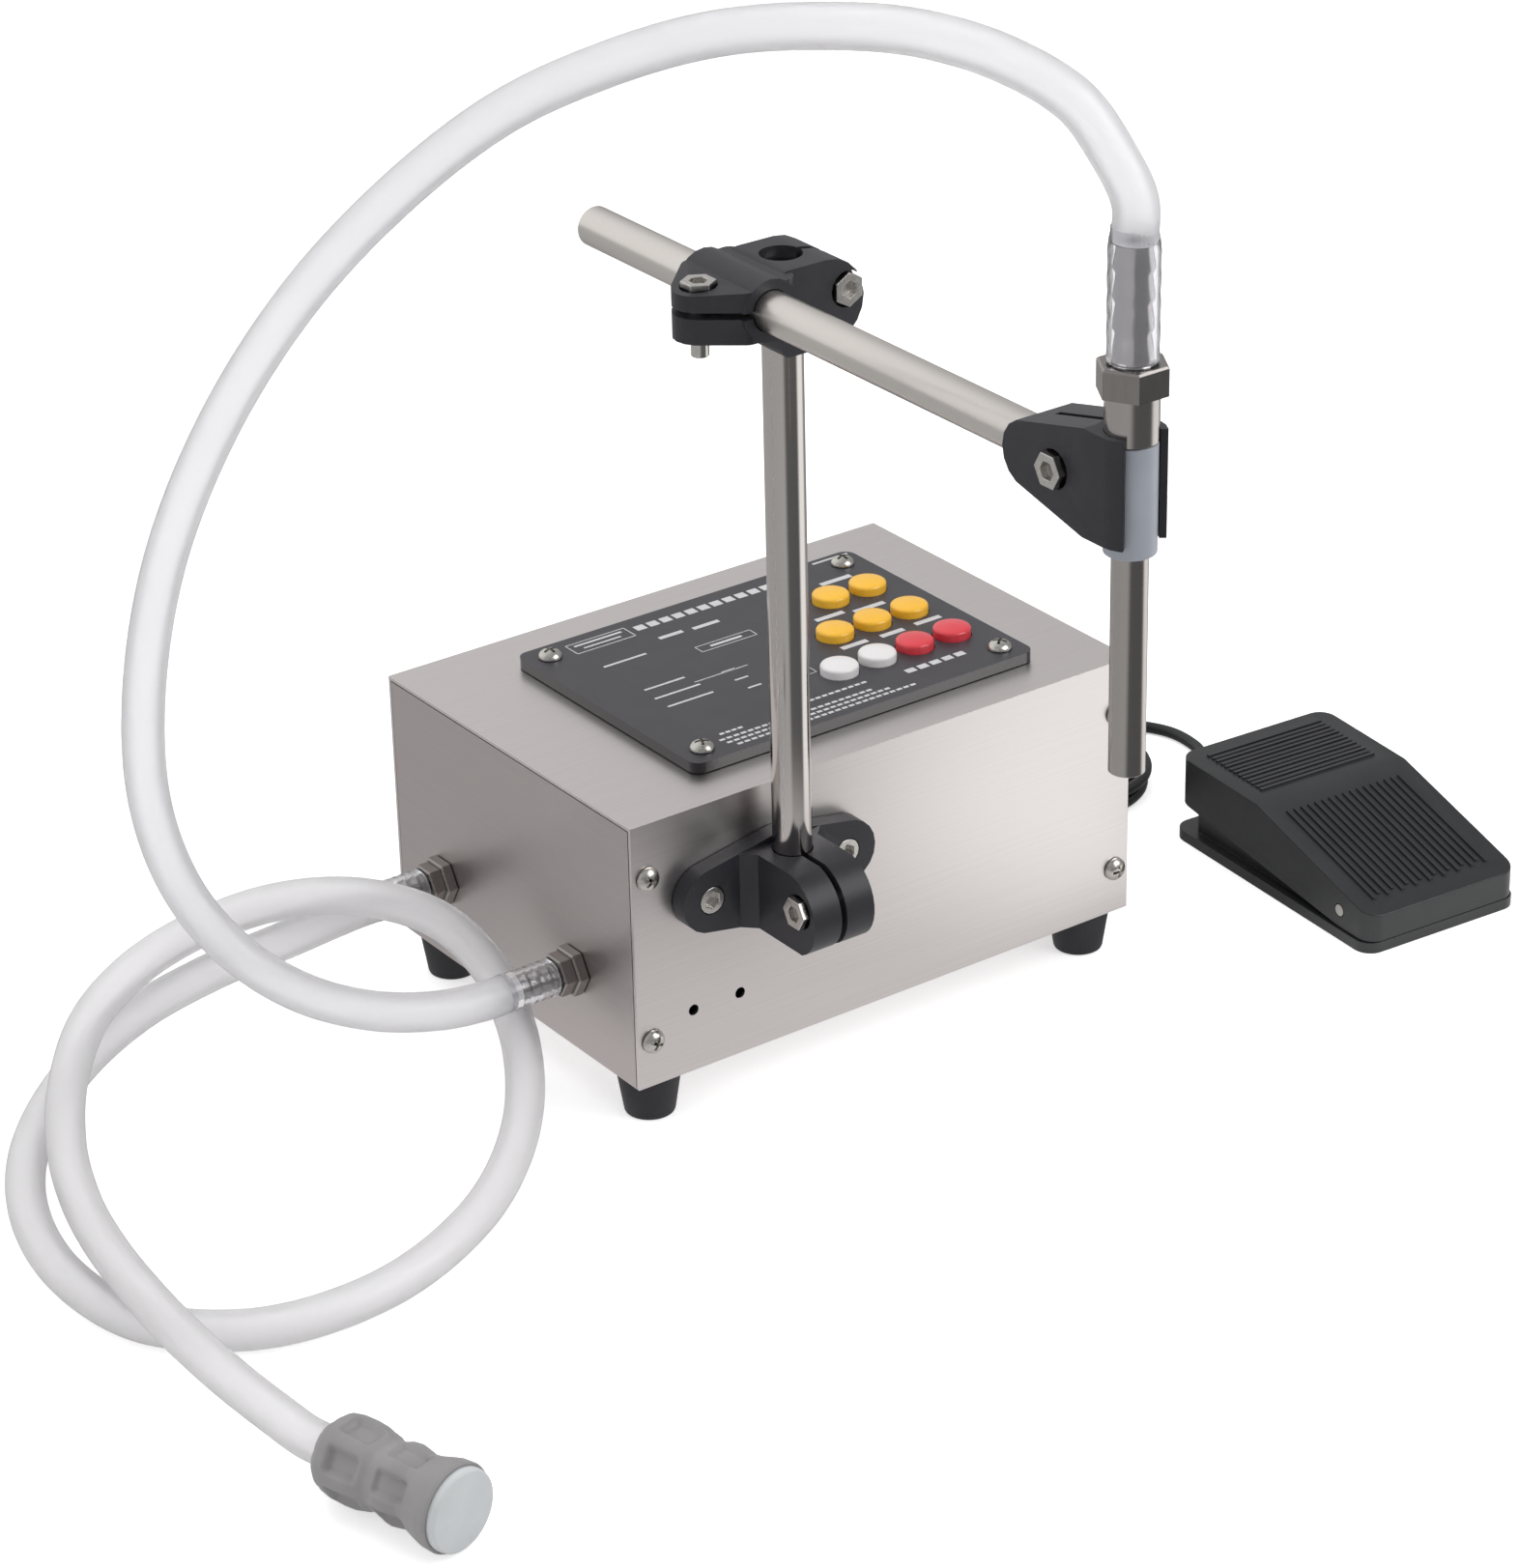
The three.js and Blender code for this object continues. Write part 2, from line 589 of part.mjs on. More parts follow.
function chassis() {
  const y0 = SHEET + FIT;
  const y1 = CASE_DEPTH - SHEET - FIT;
  const top = CASE_HEIGHT - SHEET - FIT;
  const base = box(0, CASE_WIDTH, y0, y1, 0, SHEET);
  const end = [
    box(0, SHEET, y0, y1, 0, top),
    box(0, LIP, y0, y0 + SHEET, 0, top),
    box(0, LIP, y1 - SHEET, y1, 0, top),
    box(0, LIP, y0, y1, top - SHEET, top),
  ];
  const otherEnd = end.map((sheet) => sheet.clone().rotateZ(Math.PI).translate(CASE_WIDTH, CASE_DEPTH, 0));
  const screwHoles = coverScrewPlaces.map(([, x, z]) => moved(
    facing('+y', rod(PAN_SHANK_RADIUS + FIT, -OVERRUN, PAN_SHANK_LENGTH, TINY_SEGMENTS)), x, 0, z));
  const fittingHole = facing('+x', rod(FITTING_THREAD_RADIUS + FIT, -OVERRUN, SHEET + OVERRUN, SMALL_SEGMENTS));
  const fittingHoles = [OUTLET_FITTING_Y, suctionFittingY].map((y) => moved(fittingHole, 0, y, FITTING_HEIGHT));
  return cut(join(base, ...end, ...otherEnd), ...screwHoles, ...fittingHoles);
}

function cover() {
  const front = box(0, CASE_WIDTH, 0, SHEET, 0, CASE_HEIGHT);
  const top = box(0, CASE_WIDTH, 0, CASE_DEPTH, CASE_HEIGHT - SHEET, CASE_HEIGHT);
  const back = box(0, CASE_WIDTH, CASE_DEPTH - SHEET, CASE_DEPTH, 0, CASE_HEIGHT);
  const frontHole = (x, z, radius) => moved(
    facing('+y', rod(radius, -OVERRUN, SHEET + OVERRUN, TINY_SEGMENTS)), x, 0, z);
  const window = box(PLATE_LEFT + WINDOW_SIDE_MARGIN, PLATE_LEFT + plateWidth - WINDOW_SIDE_MARGIN,
    PLATE_FRONT + WINDOW_END_MARGIN, PLATE_FRONT + PLATE_DEPTH - WINDOW_END_MARGIN,
    CASE_HEIGHT - SHEET - OVERRUN, CASE_HEIGHT + OVERRUN);
  const plateHoles = plateScrewPlaces.map(([, x, y]) => moved(
    rod(PAN_SHANK_RADIUS + FIT, CASE_HEIGHT - SHEET - OVERRUN, CASE_HEIGHT + OVERRUN, TINY_SEGMENTS), x, y, 0));
  const inletHalf = INLET_WIDTH / 2 - INLET_CORNER + FIT;
  const inletCut = box(inletX - inletHalf, inletX + inletHalf,
    CASE_DEPTH - SHEET - OVERRUN, CASE_DEPTH + OVERRUN,
    INLET_Z - INLET_HEIGHT / 2 + INLET_FLANGE - FIT, INLET_Z + INLET_HEIGHT / 2 - INLET_FLANGE + FIT);
  const glandCut = moved(facing('+y', rod(GLAND_STEM_RADIUS + FIT, -SHEET - OVERRUN, OVERRUN, SMALL_SEGMENTS)),
    glandX, CASE_DEPTH, GLAND_Z);
  return cut(join(front, top, back), window, inletCut, glandCut, ...plateHoles,
    ...coverScrewPlaces.map(([, x, z]) => frontHole(x, z, PAN_SHANK_RADIUS + FIT)),
    ...flangeScrewX.map((x) => frontHole(x, CLAMP_HEIGHT, FLANGE_SCREW_RADIUS + FIT)),
    frontHole(SPARE_HOLE_FIRST, SPARE_HOLE_HEIGHT, SPARE_HOLE_RADIUS),
    frontHole(SPARE_HOLE_SECOND, SPARE_HOLE_HEIGHT, SPARE_HOLE_RADIUS));
}

function foot() {
  return turned([
    [0, FOOT_DIMPLE_DEPTH - FOOT_HEIGHT], [FOOT_DIMPLE_RADIUS, FOOT_DIMPLE_DEPTH - FOOT_HEIGHT],
    [FOOT_DIMPLE_RADIUS, -FOOT_HEIGHT], [FOOT_BOTTOM_RADIUS, -FOOT_HEIGHT], [FOOT_TOP_RADIUS, -FIT], [0, -FIT],
  ]);
}

function keypadPlate() {
  const outline = roundedRectangle(0, plateWidth, 0, PLATE_DEPTH, PLATE_CORNER);
  const slab = raised(outline, plateBottom, plateTop).translate(PLATE_LEFT, PLATE_FRONT, 0);
  const hole = (radius, segments) => rod(radius, plateBottom - OVERRUN, plateTop + OVERRUN, segments);
  const screwHole = hole(PAN_SHANK_RADIUS + FIT, TINY_SEGMENTS);
  const screwHoles = plateScrewPlaces.map(([, x, y]) => moved(screwHole, x, y, 0));
  const buttonHoles = buttons.map(({ x, y }) => moved(hole(BUTTON_RADIUS + FIT), x, y, 0));
  return cut(slab, ...screwHoles, ...buttonHoles);
}

const capTop = plateTop + BUTTON_PROUD;
const capBottom = capTop - BUTTON_HEIGHT;
const switchTop = capBottom - BUTTON_TRAVEL - FIT;
const boardTop = switchTop - SWITCH_HEIGHT;

function buttonCap() {
  const shoulder = capTop - BUTTON_DOME;
  return turned([
    [0, capBottom + BUTTON_BORE_DEPTH], [BUTTON_BORE_RADIUS, capBottom + BUTTON_BORE_DEPTH],
    [BUTTON_BORE_RADIUS, capBottom], [BUTTON_RADIUS, capBottom], [BUTTON_RADIUS, shoulder - BUTTON_BEVEL],
    [BUTTON_RADIUS - BUTTON_BEVEL, shoulder], [0, capTop],
  ]);
}

function controlBoard() {
  const x0 = firstButtonX - BOARD_MARGIN;
  const x1 = firstButtonX + (BUTTON_COLUMNS - 1) * BUTTON_PITCH_X + BOARD_MARGIN;
  const y0 = PLATE_FRONT + BUTTON_FIRST_Y - BOARD_MARGIN / 2;
  const y1 = PLATE_FRONT + BUTTON_FIRST_Y + (buttonRows.length - 1) * BUTTON_PITCH_Y + BOARD_MARGIN / 2;
  const board = box(x0, x1, y0, y1, boardTop - BOARD_THICKNESS, boardTop);
  const half = (SWITCH_SIDE - FIT) / 2;
  const plunger = rod(BUTTON_BORE_RADIUS - FIT, boardTop,
    capBottom + BUTTON_BORE_DEPTH - BUTTON_TRAVEL - FIT, TINY_SEGMENTS);
  const switches = buttons.flatMap(({ x, y }) => [
    box(x - half, x + half, y - half, y + half, boardTop - BOARD_THICKNESS / 2, switchTop),
    moved(plunger, x, y, 0),
  ]);
  const post = rod(BOARD_POST_RADIUS, boardTop - BOARD_THICKNESS / 2, plateBottom - FIT, TINY_SEGMENTS);
  const postRows = [y0 + BUTTON_PITCH_Y / 2 + BOARD_POST_INSET, y1 - BUTTON_PITCH_Y / 2 - BOARD_POST_INSET];
  const posts = [x0 + BOARD_POST_INSET, x1 - BOARD_POST_INSET]
    .flatMap((x) => postRows.map((y) => moved(post, x, y, 0)));
  return join(board, ...switches, ...posts);
}

function pumpHead() {
  const low = SHEET + FIT;
  const half = PUMP_WIDTH / 2;
  const outline = roundedRectangle(pumpY - half, pumpY + half, low, low + PUMP_HEIGHT, PUMP_CORNER);
  const body = acrossX(outline, PUMP_X, PUMP_X + PUMP_LENGTH);
  const boss = facing('+x', rod(PUMP_BOSS_RADIUS, 0, PUMP_LENGTH + PUMP_BOSS_LENGTH));
  const seat = facing('+x', rod(SHAFT_RADIUS + FIT, PUMP_LENGTH + PUMP_BOSS_LENGTH - SHAFT_SEAT,
    PUMP_LENGTH + PUMP_BOSS_LENGTH + OVERRUN, SMALL_SEGMENTS));
  return cut(join(body, moved(boss, PUMP_X, pumpY, SHAFT_HEIGHT)), moved(seat, PUMP_X, pumpY, SHAFT_HEIGHT));
}

const couplingStart = PUMP_X + PUMP_LENGTH + PUMP_BOSS_LENGTH + COUPLING_GAP;
const motorStart = couplingStart + COUPLING_LENGTH + COUPLING_GAP;

function pumpMotor() {
  const can = turned([
    [0, 0], [MOTOR_CAP_RADIUS, 0], [MOTOR_RADIUS, MOTOR_CAP_LENGTH],
    [MOTOR_RADIUS, MOTOR_LENGTH - MOTOR_CAP_LENGTH], [MOTOR_CAP_RADIUS, MOTOR_LENGTH], [0, MOTOR_LENGTH],
  ]);
  const foot = box(MOTOR_CAP_LENGTH, MOTOR_LENGTH - MOTOR_CAP_LENGTH, -MOTOR_FOOT_WIDTH / 2, MOTOR_FOOT_WIDTH / 2,
    SHEET + FIT - SHAFT_HEIGHT, 0);
  const seat = facing('+x', rod(SHAFT_RADIUS + FIT, -OVERRUN, SHAFT_SEAT, SMALL_SEGMENTS));
  return cut(join(facing('+x', can), foot), seat).translate(motorStart, pumpY, SHAFT_HEIGHT);
}

function driveCoupling() {
  const seat = SHAFT_SEAT - FIT + COUPLING_GAP;
  return facing('+x', turned([
    [0, -seat], [SHAFT_RADIUS, -seat], [SHAFT_RADIUS, 0], [COUPLING_RADIUS, 0],
    [COUPLING_RADIUS, COUPLING_LENGTH], [SHAFT_RADIUS, COUPLING_LENGTH],
    [SHAFT_RADIUS, COUPLING_LENGTH + seat], [0, COUPLING_LENGTH + seat],
  ], SMALL_SEGMENTS));
}

function powerSupply() {
  const outline = roundedRectangle(0, SUPPLY_LENGTH, 0, SUPPLY_WIDTH, SUPPLY_CORNER);
  return raised(outline, SHEET + FIT, SHEET + FIT + SUPPLY_HEIGHT).translate(SUPPLY_X, supplyY, 0);
}

// A bulkhead fitting: thread through the panel, locknut, hexagon and barbed tail
function hoseFitting() {
  const nutTop = FIT + FITTING_NUT_LENGTH;
  const hexTop = nutTop + FITTING_HEX_LENGTH;
  const barbs = barbProfile(BARB_ROOT_RADIUS, BARB_RADIUS, BARB_COUNT, hexTop, FITTING_LENGTH);
  const body = join(
    rod(FITTING_THREAD_RADIUS, -FITTING_THREAD_LENGTH, nutTop, SMALL_SEGMENTS),
    hexagon(FITTING_NUT_FLATS, FIT, nutTop),
    hexagon(FITTING_HEX_FLATS, nutTop, hexTop),
    turned([[0, FIT], [BARB_RADIUS, FIT], ...barbs, [0, FITTING_LENGTH]], TINY_SEGMENTS),
  );
  const boreStart = -FITTING_THREAD_LENGTH - OVERRUN;
  const bore = rod(FITTING_BORE_RADIUS, boreStart, FITTING_LENGTH + OVERRUN, TINY_SEGMENTS);
  return facing('-x', cut(body, bore));
}

function powerInlet() {
  const face = FIT + INLET_FLANGE;
  const rim = roundedRectangle(-INLET_WIDTH / 2, INLET_WIDTH / 2, -INLET_HEIGHT / 2, INLET_HEIGHT / 2, INLET_CORNER);
  const flange = acrossY(rim, FIT, face);
  const halfWidth = INLET_WIDTH / 2 - INLET_CORNER;
  const halfHeight = INLET_HEIGHT / 2 - INLET_FLANGE;
  const body = box(-halfWidth, halfWidth, -INLET_DEPTH, face - INLET_FLANGE / 2, -halfHeight, halfHeight);
  const socket = acrossY(roundedRectangle(SOCKET_X - SOCKET_WIDTH / 2, SOCKET_X + SOCKET_WIDTH / 2,
    -SOCKET_HEIGHT / 2, SOCKET_HEIGHT / 2, SOCKET_CORNER), face - SOCKET_DEPTH, face + OVERRUN);
  const pocketHalf = ROCKER_WIDTH / 2 + FIT;
  const pocket = box(ROCKER_X - pocketHalf, ROCKER_X + pocketHalf, face - ROCKER_POCKET_DEPTH, face + OVERRUN,
    -ROCKER_POCKET_HALF, ROCKER_POCKET_HALF);
  const floor = face - SOCKET_DEPTH;
  const pins = [[-PIN_PITCH, PIN_DROP], [0, -PIN_DROP], [PIN_PITCH, PIN_DROP]].map(([x, z]) => box(
    SOCKET_X + x - PIN_WIDTH / 2, SOCKET_X + x + PIN_WIDTH / 2, floor - OVERRUN, floor + PIN_LENGTH,
    z - PIN_HEIGHT / 2, z + PIN_HEIGHT / 2));
  return join(cut(join(flange, body), socket, pocket), ...pins);
}

// The rocker lies with its lower end pressed in; its origin is the pivot
function powerRocker() {
  const outline = polygon([
    [-ROCKER_KEEL, -ROCKER_HALF_LENGTH + ROCKER_KEEL], [ROCKER_RISE, -ROCKER_HALF_LENGTH], [ROCKER_DIP, 0],
    [ROCKER_RISE, ROCKER_HALF_LENGTH], [-ROCKER_KEEL, ROCKER_HALF_LENGTH - ROCKER_KEEL],
  ].reverse());
  const tilt = THREE.MathUtils.degToRad(ROCKER_TILT_DEG);
  return acrossX(outline, -ROCKER_WIDTH / 2, ROCKER_WIDTH / 2).rotateX(-tilt);
}

function pedalGland() {
  return facing('+y', turned([
    [0, -GLAND_STEM_LENGTH], [GLAND_STEM_RADIUS, -GLAND_STEM_LENGTH], [GLAND_STEM_RADIUS, FIT],
    [GLAND_RADIUS, FIT], [GLAND_RADIUS, GLAND_LENGTH / 2], [GLAND_TIP_RADIUS, GLAND_LENGTH], [0, GLAND_LENGTH],
  ], SMALL_SEGMENTS));
}

// The base clamp in the post's frame: x across, y = 0 at the post's axis, z = 0 at the flange screws
function baseClamp() {
  const back = POST_OUT - FIT;
  const front = back - FLANGE_THICKNESS;
  const lobe = FLANGE_PITCH / 2;
  const flange = acrossY(hullOf([[-lobe, 0, FLANGE_LOBE_RADIUS], [0, 0, FLANGE_MIDDLE_RADIUS],
    [lobe, 0, FLANGE_LOBE_RADIUS]], ROUND_SEGMENTS), front, back);
  const side = new THREE.Shape();
  side.moveTo(front, -BOSS_HALF_HEIGHT);
  side.lineTo(front, BOSS_HALF_HEIGHT);
  side.lineTo(-BOSS_NOSE_TOP, BOSS_HALF_HEIGHT);
  side.bezierCurveTo(-BOSS_NOSE_PULL, BOSS_HALF_HEIGHT - BOSS_FLARE,
    -BOSS_NOSE_PULL, BOSS_FLARE - BOSS_HALF_HEIGHT, -BOSS_NOSE_BOTTOM, -BOSS_HALF_HEIGHT);
  const boss = acrossX(side, -BOSS_HALF_WIDTH, BOSS_HALF_WIDTH, TINY_SEGMENTS);
  const root = BOSS_HALF_WIDTH + BOSS_FLARE;
  const flare = raised(polygon([[-root, front], [-BOSS_HALF_WIDTH, front - BOSS_FLARE],
    [BOSS_HALF_WIDTH, front - BOSS_FLARE], [root, front]]), -BOSS_HALF_HEIGHT, BOSS_HALF_HEIGHT);
  const postBore = rod(ROD_RADIUS + FIT, -FLANGE_MIDDLE_RADIUS, FLANGE_MIDDLE_RADIUS);
  const slit = box(-SLIT / 2, SLIT / 2, -BOSS_NOSE_PULL - OVERRUN, 0, -FLANGE_MIDDLE_RADIUS, FLANGE_MIDDLE_RADIUS);
  const boltReach = BOSS_HALF_WIDTH + OVERRUN;
  const boltHole = rod(BOLT_RADIUS + FIT, -boltReach, boltReach, SMALL_SEGMENTS);
  const headRecess = rod(BOLT_HEAD_FLATS / Math.sqrt(3) + FIT, BOSS_HALF_WIDTH - BOSS_BOLT_RECESS,
    BOSS_HALF_WIDTH + OVERRUN, SMALL_SEGMENTS);
  const screwTools = [-lobe, lobe].flatMap((x) => [
    moved(facing('-y', rod(FLANGE_SCREW_RADIUS + FIT, -back - OVERRUN, OVERRUN, SMALL_SEGMENTS)), x, 0, 0),
    moved(facing('-y', rod(FLANGE_HEAD_RADIUS + FIT, -front - FLANGE_RECESS, OVERRUN, SMALL_SEGMENTS)), x, 0, 0),
  ]);
  return cut(join(flange, boss, flare), postBore, slit, ...screwTools,
    moved(facing('+x', boltHole), 0, -BOSS_BOLT_OUT, BOSS_BOLT_UP),
    moved(facing('-x', headRecess), 0, -BOSS_BOLT_OUT, BOSS_BOLT_UP));
}

function chamferedRod(length) {
  const end = ROD_RADIUS - ROD_CHAMFER;
  return turned([
    [0, 0], [end, 0], [ROD_RADIUS, ROD_CHAMFER],
    [ROD_RADIUS, length - ROD_CHAMFER], [end, length], [0, length],
  ]);
}

// The cross clamp: the post's axis is x = y = 0, the arm's axis is x = -CROSS_OFFSET, z = 0
const armBoltX = -CROSS_OFFSET - CROSS_BOLT_REACH;
const armBoltSeat = CROSS_TOP - CROSS_HEAD_RECESS - CROSS_TOP_FALL / 2;

function crossClamp() {
  const bore = ROD_RADIUS + CROSS_BORE_WALL;
  const corner = bore - CROSS_CORNER;
  const collar = [-CROSS_OFFSET - corner, -CROSS_OFFSET + corner].flatMap((x) => [
    [x, CROSS_CORNER - CROSS_ARM_FRONT, CROSS_CORNER], [x, CROSS_ARM_BACK - CROSS_CORNER, CROSS_CORNER],
  ]);
  const ear = [armBoltX, -CROSS_EAR_SHIFT, CROSS_EAR_RADIUS];
  const wing = raised(hullOf([ear, ...collar], SMALL_SEGMENTS), -CROSS_EAR_BOTTOM, CROSS_TOP);
  const far = armBoltX - CROSS_EAR_RADIUS - OVERRUN;
  const slope = acrossY(polygon([[far, CROSS_TOP - CROSS_TOP_FALL], [0, CROSS_TOP], [0, CROSS_TOP + OVERRUN],
    [far, CROSS_TOP + OVERRUN]]), -CROSS_ARM_FRONT - OVERRUN, CROSS_ARM_BACK + OVERRUN);
  const armCollar = facing('+y', rod(bore, -CROSS_ARM_FRONT, CROSS_ARM_BACK)).translate(-CROSS_OFFSET, 0, 0);
  const middle = (CROSS_TOP - CROSS_BOTTOM) / 2;
  const cheek = acrossY(hullOf([[CROSS_CHEEK_X, middle, CROSS_CHEEK_RADIUS],
    [-corner, CROSS_TOP - CROSS_CORNER, CROSS_CORNER], [-corner, CROSS_CORNER - CROSS_BOTTOM, CROSS_CORNER]],
  ROUND_SEGMENTS), -CROSS_POST_HALF_DEPTH, CROSS_POST_HALF_DEPTH);
  const right = CROSS_CHEEK_X + CROSS_CHEEK_RADIUS + OVERRUN;
  const low = -CROSS_BOTTOM - OVERRUN;
  const high = CROSS_TOP + OVERRUN;
  const armBore = facing('+y', rod(ROD_RADIUS + FIT, -CROSS_ARM_FRONT - OVERRUN, CROSS_ARM_BACK + OVERRUN));
  const sideBolt = facing('-y', join(
    rod(BOLT_RADIUS + FIT, -CROSS_POST_HALF_DEPTH - OVERRUN, CROSS_POST_HALF_DEPTH, SMALL_SEGMENTS),
    rod(BOLT_HEAD_FLATS / Math.sqrt(3) + FIT, CROSS_POST_HALF_DEPTH - CROSS_HEAD_RECESS,
      CROSS_POST_HALF_DEPTH + OVERRUN, SMALL_SEGMENTS),
  ));
  const wingBolt = join(
    rod(BOLT_RADIUS + FIT, low, high, SMALL_SEGMENTS),
    rod(BOLT_HEAD_FLATS / Math.sqrt(3) + FIT, armBoltSeat - FIT, high, SMALL_SEGMENTS),
  );
  return cut(join(cut(wing, slope), armCollar, cheek),
    rod(ROD_RADIUS + FIT, low, high),
    moved(armBore, -CROSS_OFFSET, 0, 0),
    box(0, right, -SLIT / 2, SLIT / 2, low, high),
    box(far, -CROSS_OFFSET, -CROSS_ARM_FRONT - OVERRUN, CROSS_ARM_BACK + OVERRUN, -SLIT / 2, SLIT / 2),
    moved(sideBolt, CROSS_BOLT_REACH, 0, CROSS_SIDE_BOLT_Z),
    moved(wingBolt, armBoltX, -CROSS_EAR_SHIFT, 0));
}

// The end clamp: the nozzle's axis is x = y = 0, the arm's axis is z = 0 along +Y
function endClamp() {
  const shoulder = HEAD_HALF_HEIGHT - HEAD_CORNER;
  const body = acrossX(hullOf([[HEAD_ARM_Y, 0, HEAD_HALF_WIDTH], [HEAD_SHOULDER_Y, shoulder, HEAD_CORNER],
    [HEAD_SHOULDER_Y, -shoulder, HEAD_CORNER]], SMALL_SEGMENTS), -HEAD_HALF_WIDTH, HEAD_HALF_WIDTH);
  const bridge = box(-HEAD_HALF_WIDTH, HEAD_HALF_WIDTH, 0, HEAD_SHOULDER_Y, -HEAD_HALF_HEIGHT,
    HEAD_HALF_HEIGHT);
  const jaws = rod(HEAD_HALF_WIDTH, -HEAD_HALF_HEIGHT, HEAD_HALF_HEIGHT);
  const low = -HEAD_HALF_HEIGHT - OVERRUN;
  const high = HEAD_HALF_HEIGHT + OVERRUN;
  const reach = 2 * HEAD_HALF_WIDTH;
  const half = THREE.MathUtils.degToRad(HEAD_MOUTH_DEG / 2);
  const mouth = raised(polygon([[0, 0], [-reach * Math.sin(half), -reach * Math.cos(half)],
    [reach * Math.sin(half), -reach * Math.cos(half)]]), low, high);
  const back = HEAD_ARM_Y + HEAD_HALF_WIDTH + OVERRUN;
  const boltHole = facing('+x', rod(BOLT_RADIUS + FIT, -HEAD_HALF_WIDTH - OVERRUN, HEAD_HALF_WIDTH + OVERRUN,
    SMALL_SEGMENTS));
  const headRecess = facing('-x', rod(BOLT_HEAD_FLATS / Math.sqrt(3) + FIT, HEAD_HALF_WIDTH - HEAD_BOLT_RECESS,
    HEAD_HALF_WIDTH + OVERRUN, SMALL_SEGMENTS));
  return cut(join(body, bridge, jaws), mouth,
    rod(SLEEVE_RADIUS + FIT, low, high),
    facing('+y', rod(ROD_RADIUS + FIT, HEAD_ARM_SEAT, back)),
    box(-SLIT / 2, SLIT / 2, 0, HEAD_ARM_SEAT + ROD_RADIUS - SLIT, low, high),
    moved(boltHole, 0, HEAD_BOLT_Y, 0),
    moved(headRecess, 0, HEAD_BOLT_Y, 0));
}

function ring(outer, inner, z0, z1, segments = ROUND_SEGMENTS) {
  return turned([[inner, z0], [outer, z0], [outer, z1], [inner, z1], [inner, z0]], segments);
}

const skirtBottom = SLEEVE_TOP + FIT;
const nozzleHexBottom = SKIRT_TOP + FIT;
const nozzleTip = nozzleHexBottom + NOZZLE_HEX_HEIGHT + NOZZLE_BARB_HEIGHT;

function nozzlePipe() {
  return turned([
    [PIPE_BORE_RADIUS, -PIPE_BOTTOM], [PIPE_RADIUS, -PIPE_BOTTOM], [PIPE_RADIUS, skirtBottom],
    [SKIRT_RADIUS, skirtBottom], [SKIRT_RADIUS, SKIRT_TOP], [PIPE_BORE_RADIUS, SKIRT_TOP],
    [PIPE_BORE_RADIUS, -PIPE_BOTTOM],
  ]);
}

function nozzleBarb() {
  const hexTop = nozzleHexBottom + NOZZLE_HEX_HEIGHT;
  const tail = barbProfile(NOZZLE_BARB_ROOT_RADIUS, NOZZLE_BARB_RADIUS, BARB_COUNT, hexTop, nozzleTip);
  const body = join(
    hexagon(NOZZLE_HEX_FLATS, nozzleHexBottom, hexTop),
    turned([[0, nozzleHexBottom], [NOZZLE_BARB_RADIUS, nozzleHexBottom], ...tail, [0, nozzleTip]], SMALL_SEGMENTS),
  );
  return cut(body, rod(NOZZLE_BARB_BORE_RADIUS, nozzleHexBottom - OVERRUN, nozzleTip + OVERRUN, TINY_SEGMENTS));
}

// The pedal's top surface over a distance y from its front edge
function treadleTop(y) {
  const slope = y < TREADLE_KNEE_Y
    ? (TREADLE_KNEE - TREADLE_FRONT) / TREADLE_KNEE_Y
    : (TREADLE_BACK - TREADLE_KNEE) / (TREADLE_LENGTH - TREADLE_KNEE_Y);
  return TREADLE_KNEE + (y - TREADLE_KNEE_Y) * slope;
}

function common(base, tool) {
  return geometryOf(solidOf(base).intersect(solidOf(tool)));
}

